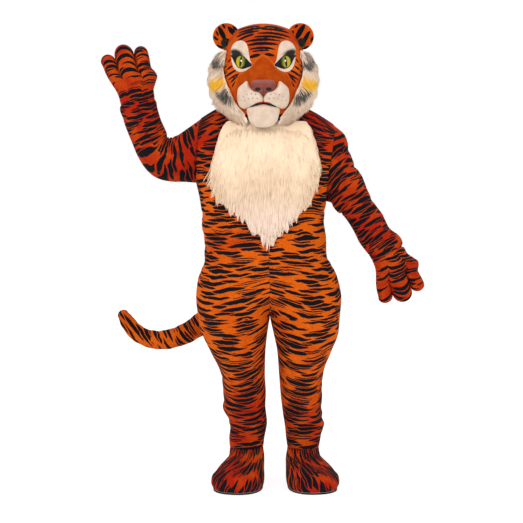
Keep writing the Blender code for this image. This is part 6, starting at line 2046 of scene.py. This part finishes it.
class Look:
    """A material in the making. Its numbers are plain or Ink, its colours (r, g, b) or sockets."""

    def __init__(self, name, roughness, specular=0.5, sheen=0.0, coat=0.0):
        self.made = bpy.data.materials.new(name)
        self.made.use_nodes = True
        self.tree = self.made.node_tree
        self.surface = self.tree.nodes["Principled BSDF"]
        self.set("Roughness", roughness)
        self.set("Specular IOR Level", specular)
        self.set("Sheen Weight", sheen)
        self.set("Sheen Roughness", SHEEN_ROUGHNESS)
        self.set("Coat Weight", coat)
        self.set("Coat Roughness", COAT_ROUGHNESS)
        self.place = self.add("TexCoord").outputs["Object"]

    def fill(self, entry, value):
        if isinstance(value, Ink):
            value = value.socket
        if isinstance(value, bpy.types.NodeSocket):
            self.tree.links.new(value, entry)
        else:
            entry.default_value = (*value, 1) if isinstance(value, tuple) else value

    def set(self, name, value):
        self.fill(self.surface.inputs[name], value)

    def add(self, kind, *values):
        """A node with its first entries filled."""
        node = self.tree.nodes.new(f"ShaderNode{kind}")
        for entry, value in zip(node.inputs, values):
            self.fill(entry, value)
        return node

    def parts(self, vector, kind="SeparateXYZ"):
        node = self.add(kind, vector)
        return [Ink(self, socket) for socket in node.outputs[:3]]

    def vector(self, *numbers):
        return self.add("CombineXYZ", *numbers).outputs[0]

    def mark(self, name):
        """The number of this name that the piece carries at each of its points."""
        node = self.add("Attribute")
        node.attribute_name = name
        return Ink(self, node.outputs["Fac"])

    def print_place(self):
        """The print's coordinates as two numbers."""
        node = self.add("UVMap")
        node.uv_map = "print"
        return self.parts(node.outputs[0])[:2]

    def noise(self, scale, detail=2.0, roughness=0.5, place=None):
        """Soft noise about 0.5, with scale features in a metre of the piece, or in 1 of another place."""
        node = self.add("TexNoise")
        self.fill(node.inputs["Vector"], place or self.place)
        self.fill(node.inputs["Scale"], scale)
        self.fill(node.inputs["Detail"], detail)
        self.fill(node.inputs["Roughness"], roughness)
        return Ink(self, node.outputs["Fac"])

    def chances(self, *numbers):
        """Three random numbers that are the same wherever these are."""
        node = self.add("TexWhiteNoise")
        node.noise_dimensions = "3D"
        self.fill(node.inputs["Vector"], self.vector(*numbers))
        return self.parts(node.outputs["Color"], "SeparateColor")

    def mixed(self, share, first, second):
        """One colour turning to another."""
        node = self.add("Mix")
        node.data_type = "RGBA"
        self.fill(node.inputs["Factor"], share)
        self.fill(node.inputs["A"], first)
        self.fill(node.inputs["B"], second)
        return node.outputs["Result"]

    def finish(self, colour, relief=None, depth=0.0, strength=1.0):
        """The material with this colour and relief, whose height 1 stands depth metres out."""
        self.set("Base Color", colour)
        if relief is not None:
            node = self.add("Bump")
            self.fill(node.inputs["Strength"], strength)
            self.fill(node.inputs["Distance"], depth)
            self.fill(node.inputs["Height"], relief)
            self.set("Normal", node.outputs[0])
        return self.made


def streaks(look, u, v, layer, thickness, length, often=1.0):
    """Tapered streaks, one in each cell of each row. Above 0 is inside one, counted in rows."""
    row = v.floor()
    shift, lean, _ = look.chances(row, layer, 0.5)
    place = u + shift * STREAKS["shift"]
    cell = place.floor()
    long, high, thick = look.chances(cell, row, layer)
    across = place - cell - 0.5
    half = (long * STREAKS["longer"] + STREAKS["shortest"]) * length
    middle = (high - 0.5) * STREAKS["stray"] + (lean - 0.5 + thick - 0.5) * across * STREAKS["lean"]
    ratio = (across + (high - 0.5) * STREAKS["off_middle"]) / half
    body = (ratio.size() ** STREAKS["taper"]).rest().most(0.0)
    another, hollow = thick * 3.7 + long * 5.3, high * 7.31 + thick * 5.17  # chances made of the others
    there, hollow = another - another.floor(), hollow - hollow.floor()
    edge = body * (thick * STREAKS["thicker"] + STREAKS["thinnest"])
    edge = edge * there.between(often, often + 0.001, 1.0, 0.0) * thickness
    away = (v - row - 0.5 - middle).size()
    slit = away - edge * STREAKS["slit"]
    opened = (edge - away).least(slit * STREAKS["slit_edge"] + hollow.between(*STREAKS["whole"]))
    return opened - body.rest() * STREAKS["point"]


def tiger_print(look):
    """Where the print is black, from 0 to 1: long streaks, thin ones between, their edges like pile."""
    u, v = look.print_place()
    wave, twist = look.noise(9.0, 1.0) - 0.5, look.noise(24.0, 1.0) - 0.5
    bold = look.mark("bold")
    v = v + wave * WAVES["wave"] + twist * WAVES["twist"]
    u = u + twist * WAVES["twist_along"]
    long = streaks(look, u, v, 1.0, bold + LONG_STREAKS["thickness"], LONG_STREAKS["length"])
    short_u = u * SHORT_STREAKS["closer"] + SHORT_STREAKS["shift"]
    thickness = bold * SHORT_STREAKS["bold"] + SHORT_STREAKS["thickness"]
    often = bold * SHORT_STREAKS["often_bold"] + SHORT_STREAKS["often"]
    short = streaks(look, short_u, v + 0.5, 2.0, thickness, SHORT_STREAKS["length"], often)
    short = short.least(long * -1.0 - SHORT_STREAKS["clear"])
    comb = look.noise(1.0, 2.0, 0.6, look.vector(u * PILE_COMB["along"], v * PILE_COMB["across"], 0.0)) - 0.5
    grain = look.noise(420.0, 1.0) - 0.5
    ink = long.most(short) + comb * PILE_COMB["ragged"] + grain * PILE_COMB["grain"]
    return ink.between(-0.02, 0.035)


def plush_colour(look, black):
    """Orange dye going to red in soft clouds, lighter where the pile lies over, black where it is printed."""
    cloud = look.noise(7.0)
    blotch = look.noise(26.0)
    stroke = look.noise(160.0)
    share = (look.mark("red") * 1.25 + (cloud - 0.5) * 1.5 + (blotch - 0.5) * 0.7 - 0.12).most(0.0).least(1.0)
    dyed = look.mixed(share, ORANGE, RED)
    worn = look.mixed(stroke.between(0.48, 0.74, 0.0, 0.40) * (share * -0.85 + 1.0), dyed, LIGHT_ORANGE)
    deep = look.mixed(stroke.between(0.25, 0.48, 0.45, 0.0), worn, DEEP_ORANGE)
    return look.mixed(black, deep, STREAK_BLACK)


def plush_look(name):
    look = Look(name, roughness=0.9, specular=0.06, sheen=0.015)
    look.set("Sheen Tint", SHEEN_TINT)
    return look


def finish_plush(look, colour, strength):
    """Short pile: a fine grain with broader marks where it was stroked."""
    return look.finish(colour, look.noise(900.0, 2.0, 0.6) * 0.6 + look.noise(120.0) * 0.5, 0.0016, strength)


def make_plush():
    look = plush_look("plush_orange")
    return finish_plush(look, plush_colour(look, tiger_print(look)), 0.55)


def make_head_plush():
    """Plush with hand-painted strokes where the face is, the print elsewhere, and a plain warm snout with a
    painted highlight along its upper rim.
    """
    look = plush_look("plush_head")
    comb, ragged = look.noise(260.0, 2.0, 0.6) - 0.5, look.noise(60.0) - 0.5
    painted = (look.mark("stroke") + comb * 0.30 + ragged * 0.45).between(-0.05, 0.06)
    drawn = look.mark("drawn")
    black = painted * drawn + tiger_print(look) * drawn.rest()
    plain = look.mark("snout").between(0.35, 0.65)
    dyed = plush_colour(look, black * plain.rest())
    fleece = look.mixed(look.noise(38.0, 3.0).between(0.2, 0.85), SNOUT_BROWN, SNOUT_ORANGE)
    # Painted highlight along the snout's upper rim.
    fleece = look.mixed(look.mark("edge").between(0.2, 0.9, 0.0, 0.6), fleece, SNOUT_PAINTED_HIGHLIGHT)
    return finish_plush(look, look.mixed(plain, dyed, fleece), 0.5)


def make_felt():
    look = Look("felt_white", roughness=0.9, specular=0.08, sheen=0.03)
    cloud = look.noise(30.0, 3.0)
    base = look.mixed(cloud.between(0.3, 0.75), FELT_WHITE, FELT_SHADE)
    base = look.mixed(brow_smudge(look), base, SMUDGE)
    return look.finish(base, look.noise(700.0) * 0.7 + cloud * 0.3, 0.0012, 0.5)


def brow_smudge(look):
    """Dark brushed fur over each eye's outer half."""
    across, up = look.mark("across"), look.mark("up")
    lean = (across - BROW["turns_at"]) * BROW["lean"]
    away = (across - BROW["across"]) / BROW["half_width"]
    rise = (up - BROW["up"] - lean * BROW["bend"]) / BROW["half_height"]
    hairs = look.noise(1.0, 2.0, 0.6, look.vector(across * 9.0 - up * 1.5, up * 1.2, 0.0)) - 0.5
    return (reach_of(away, rise) + hairs * BROW["ragged"]).between(*BROW["edge"])


def reach_of(x, y):
    """How far a place is from the middle."""
    return (x * x + y * y) ** 0.5


def make_eye():
    """A painted eye: black almond, yellow-green iris with a slit, and a small white painted highlight."""
    look = Look("eye_gloss", roughness=0.3, specular=0.12, coat=0.06)
    x = (look.mark("across") - EYE_SPOT["across"]) / EYE_SPOT["half_width"]
    y = (look.mark("up") - EYE_SPOT["up"]) / EYE_SPOT["half_height"]
    reach = reach_of(x, y)
    rays = look.noise(1.0, place=look.vector(x * 5.0, y * 1.2, 0.0))
    outer = (reach * 0.7 - x * 0.5 + (rays - 0.5) * 0.6).between(0.25, 1.05)
    iris = look.mixed(outer, IRIS_YELLOW, IRIS_GREEN)
    iris = look.mixed((rays - y * 0.3).between(0.5, 0.9, 0.0, 0.4), iris, IRIS_LIGHT)
    leaning = x + y * EYE_SLIT["lean"]
    slit = (leaning * leaning / EYE_SLIT["across"] + y * y / EYE_SLIT["up"]) ** 0.5
    colour = look.mixed(slit.between(0.85, 1.1, 1.0, 0.0), iris, EYE_BLACK)
    colour = look.mixed(reach.between(0.90, 1.04), colour, EYE_BLACK)
    # Painted highlight: a small white spot beside the pupil stands in for a reflection of the light.
    beside, above = x + EYE_PAINTED_HIGHLIGHT["inwards"], y - EYE_PAINTED_HIGHLIGHT["above"]
    painted_highlight = (beside * beside / EYE_PAINTED_HIGHLIGHT["across"] + above * above / EYE_PAINTED_HIGHLIGHT["up"]) ** 0.5
    colour = look.mixed(painted_highlight.between(0.6, 1.1, 1.0, 0.0), colour, PAINTED_HIGHLIGHT_WHITE)
    return look.finish(colour, look.noise(500.0, 1.0), 0.0002, 0.15)


def make_nose():
    look = Look("nose_vinyl", roughness=0.5, specular=0.22, coat=0.03)
    across, up = look.mark("across").size(), look.mark("up")
    beside = (across - NOSTRIL["across"]) / NOSTRIL["half_width"]
    hole = reach_of(beside, (up - NOSTRIL["up"]) / NOSTRIL["half_height"])
    cleft = (across / NOSE_CLEFT["width"]).between(0.5, 1.5, 1.0, 0.0)
    cleft = cleft * up.between(*NOSE_CLEFT["ends"], 1.0, 0.0)
    base = look.mixed(look.noise(40.0).between(0.35, 0.7), NOSE_BROWN, NOSE_LIGHT)
    # Painted highlight: the nose's top is lighter, as if lit from above.
    base = look.mixed(up.between(*NOSE_PAINTED_HIGHLIGHT_HEIGHTS), base, NOSE_PAINTED_HIGHLIGHT)
    # Painted shade: the cleft and the nostril dents are darkened towards black.
    base = look.mixed(cleft * 0.6, base, NOSE_PAINTED_SHADE)
    base = look.mixed(hole.between(0.75, 1.15, 1.0, 0.0), base, NOSE_PAINTED_SHADE)
    relief = look.noise(420.0, 3.0, 0.6) * 0.5 - hole.between(0.5, 1.3, 3.0, 0.0) - cleft * 1.5
    return look.finish(base, relief, 0.0012, 0.6)


def clouded(look, colour, shade):
    """One colour with a darker shade clouded into it."""
    return look.mixed(look.noise(60.0, 3.0).between(0.35, 0.7), colour, shade)


def make_sole():
    """Black rubber with a pale welt where its top shows round the plush."""
    look = Look("sole_rubber", roughness=0.8, specular=0.10)
    level = look.parts(look.place)[2] * MILLIMETRES + ORIGIN_HEIGHT * MILLIMETRES
    welt = level.between(WELT_HEIGHT - 0.5, WELT_HEIGHT - 0.2, 0.0, 0.85)
    base = look.mixed(welt, clouded(look, SOLE_BLACK, SOLE_WORN), WELT_PALE)
    return look.finish(base, look.noise(900.0), 0.0008, 0.4)


def make_tape():
    """The zip's tape: a twill with the closed row of teeth down its middle."""
    look = Look("zip_tape", roughness=0.8, specular=0.15)
    x, _, z = look.parts(look.place)
    across, level = x * MILLIMETRES, z * MILLIMETRES
    twill = ((across + level) / TWILL_PITCH).sum_of("FRACT").between(0.3, 0.7)
    tooth = (level / TOOTH_PITCH).sum_of("FRACT").between(0.25, 0.45)
    row = across.size().between(TEETH_HALF_WIDTH - 0.4, TEETH_HALF_WIDTH, 1.0, 0.0)
    base = look.mixed(twill, TAPE_DARK, TAPE_LIGHT)
    base = look.mixed(row, base, look.mixed(tooth, TOOTH_SHADE, TOOTH_METAL))
    return look.finish(base, twill * 0.3 + row * tooth, 0.0012, 0.7)


def make_lip(name, colour, shade, roughness):
    """Painted cloth with a fine grain."""
    look = Look(name, roughness, specular=0.10)
    return look.finish(clouded(look, colour, shade), look.noise(600.0), 0.0008, 0.4)


def make_fur(name, light, dark):
    """Fur whose strands differ a little, with painted shade at the root, and brushed-in patches of colour."""
    look = Look(name, roughness=0.75, specular=0.05, sheen=0.02)
    fine = look.noise(260.0) - 0.5
    strand = look.mark("shade")
    shade = strand + (look.noise(14.0) - 0.5) * 0.5 + fine * 0.3
    base = look.mixed(shade.between(0.15, 0.85), dark, light)
    # Painted shade: the strands darken towards their roots.
    base = look.mixed(look.mark("along").between(0.0, 0.4, 0.10, 0.0), base, FUR_ROOT_PAINTED_SHADE)
    base = look.mixed(look.mark("pale").between(0.1, 0.9, 0.0, 0.8), base, FUR_PALE)
    blush = look.mark("blush") + fine * 0.4
    base = look.mixed(blush.between(0.3, 1.0, 0.0, 0.45), base, FUR_BLUSH)
    ochre = look.mark("ochre") + fine * 0.4 + (strand - 0.5) * 0.4
    base = look.mixed(ochre.between(0.25, 0.75, 0.0, 0.95), base, FUR_OCHRE)
    grey = look.mark("grey") + fine * 0.5 + (strand - 0.5) * 0.7
    base = look.mixed(grey.between(0.35, 0.95, 0.0, 0.95), base, FUR_GREY)
    return look.finish(base)


# ------------------------------------------------------------------ floor, light and camera
def build_stage():
    floor_mesh = bpy.data.meshes.new("floor")
    reach, ground = FLOOR_REACH, -ORIGIN_HEIGHT
    corners = [(x * reach, y * reach, ground) for x, y in ((-1, -1), (1, -1), (1, 1), (-1, 1))]
    floor_mesh.from_pydata(corners, [], [(0, 1, 2, 3)])
    pale = Look("pale_floor", roughness=0.9)
    pale.set("Emission Color", FLOOR_GLOW)
    pale.set("Emission Strength", FLOOR_GLOW_STRENGTH)
    floor_mesh.materials.append(pale.finish(FLOOR_GREY))
    floor = bpy.data.objects.new("floor", floor_mesh)
    bpy.context.scene.collection.objects.link(floor)


def add_light(name, place, target, power, size):
    lamp = bpy.data.lights.new(name, "AREA")
    lamp.energy = power
    lamp.shape = "DISK"
    lamp.size = size
    light = bpy.data.objects.new(name, lamp)
    light.location = place
    aim = Vector(target) - Vector(place)
    light.rotation_euler = aim.to_track_quat("-Z", "Y").to_euler()
    bpy.context.scene.collection.objects.link(light)


def build_light():
    scene = bpy.context.scene
    world = bpy.data.worlds.new("studio")
    world.use_nodes = True
    background = world.node_tree.nodes["Background"]
    background.inputs["Color"].default_value = (*WORLD_WHITE, 1)
    background.inputs["Strength"].default_value = WORLD_STRENGTH
    scene.world = world
    scene.view_settings.view_transform = "Standard"
    for name, place, target, power, size in LIGHTS:
        add_light(name, place, target, power, size)


def build_camera():
    """The photograph's own view: level, from the height of the hips' top, in front of the middle."""
    data = bpy.data.cameras.new("camera")
    data.lens = CAMERA["lens"]
    data.sensor_width = CAMERA["sensor"]
    data.shift_x = (FRAME / 2 - CAMERA["axis_px"][0]) / FRAME
    data.shift_y = (CAMERA["axis_px"][1] - FRAME / 2) / FRAME
    camera = bpy.data.objects.new("camera", data)
    camera.location = CAMERA["place"]
    camera.rotation_euler = (math.radians(90), 0, 0)
    bpy.context.scene.collection.objects.link(camera)
    bpy.context.scene.camera = camera


# ------------------------------------------------------------------ the whole
PLUSH_ORANGE = make_plush()
HEAD_PLUSH = make_head_plush()
FELT = make_felt()
EYE_GLOSS = make_eye()
NOSE_VINYL = make_nose()
LIP_BLACK = make_lip("lip_black", *LIP_BLACKS, 0.6)
LIP_RED = make_lip("lip_red", *LIP_REDS, 0.7)
FUR_CREAM = make_fur("fur_cream", CREAM, CREAM_SHADE)
FUR_WHITE = make_fur("fur_white", WHITE_FUR, WHITE_SHADE)
TUFT_DARK = make_fur("inner_ear_fur", TUFT, TUFT_SHADE)
RUBBER = make_sole()
TAPE = make_tape()


def main():
    build_stage()
    build_light()
    build_camera()
    skins = {}
    build_panels(skins)
    for side in (RIGHT, LEFT):
        build_sleeve(side, skins)
    for side in (RIGHT, LEFT):
        build_mitt(side, skins[side, "sleeve"][0])
        build_foot(side, skins)
    build_tail(skins)
    outside = build_head(tree_of(list(skins.values())))
    head = tree_of([outside])
    build_face(head)
    for side in (RIGHT, LEFT):
        build_ear(side, head)
    build_fur(skins, outside)
    for side in (RIGHT, LEFT):
        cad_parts[f"foot_{side_name(side)}_sole"].material_slots[0].material = RUBBER
    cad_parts["zip_tape"].material_slots[0].material = TAPE


main()
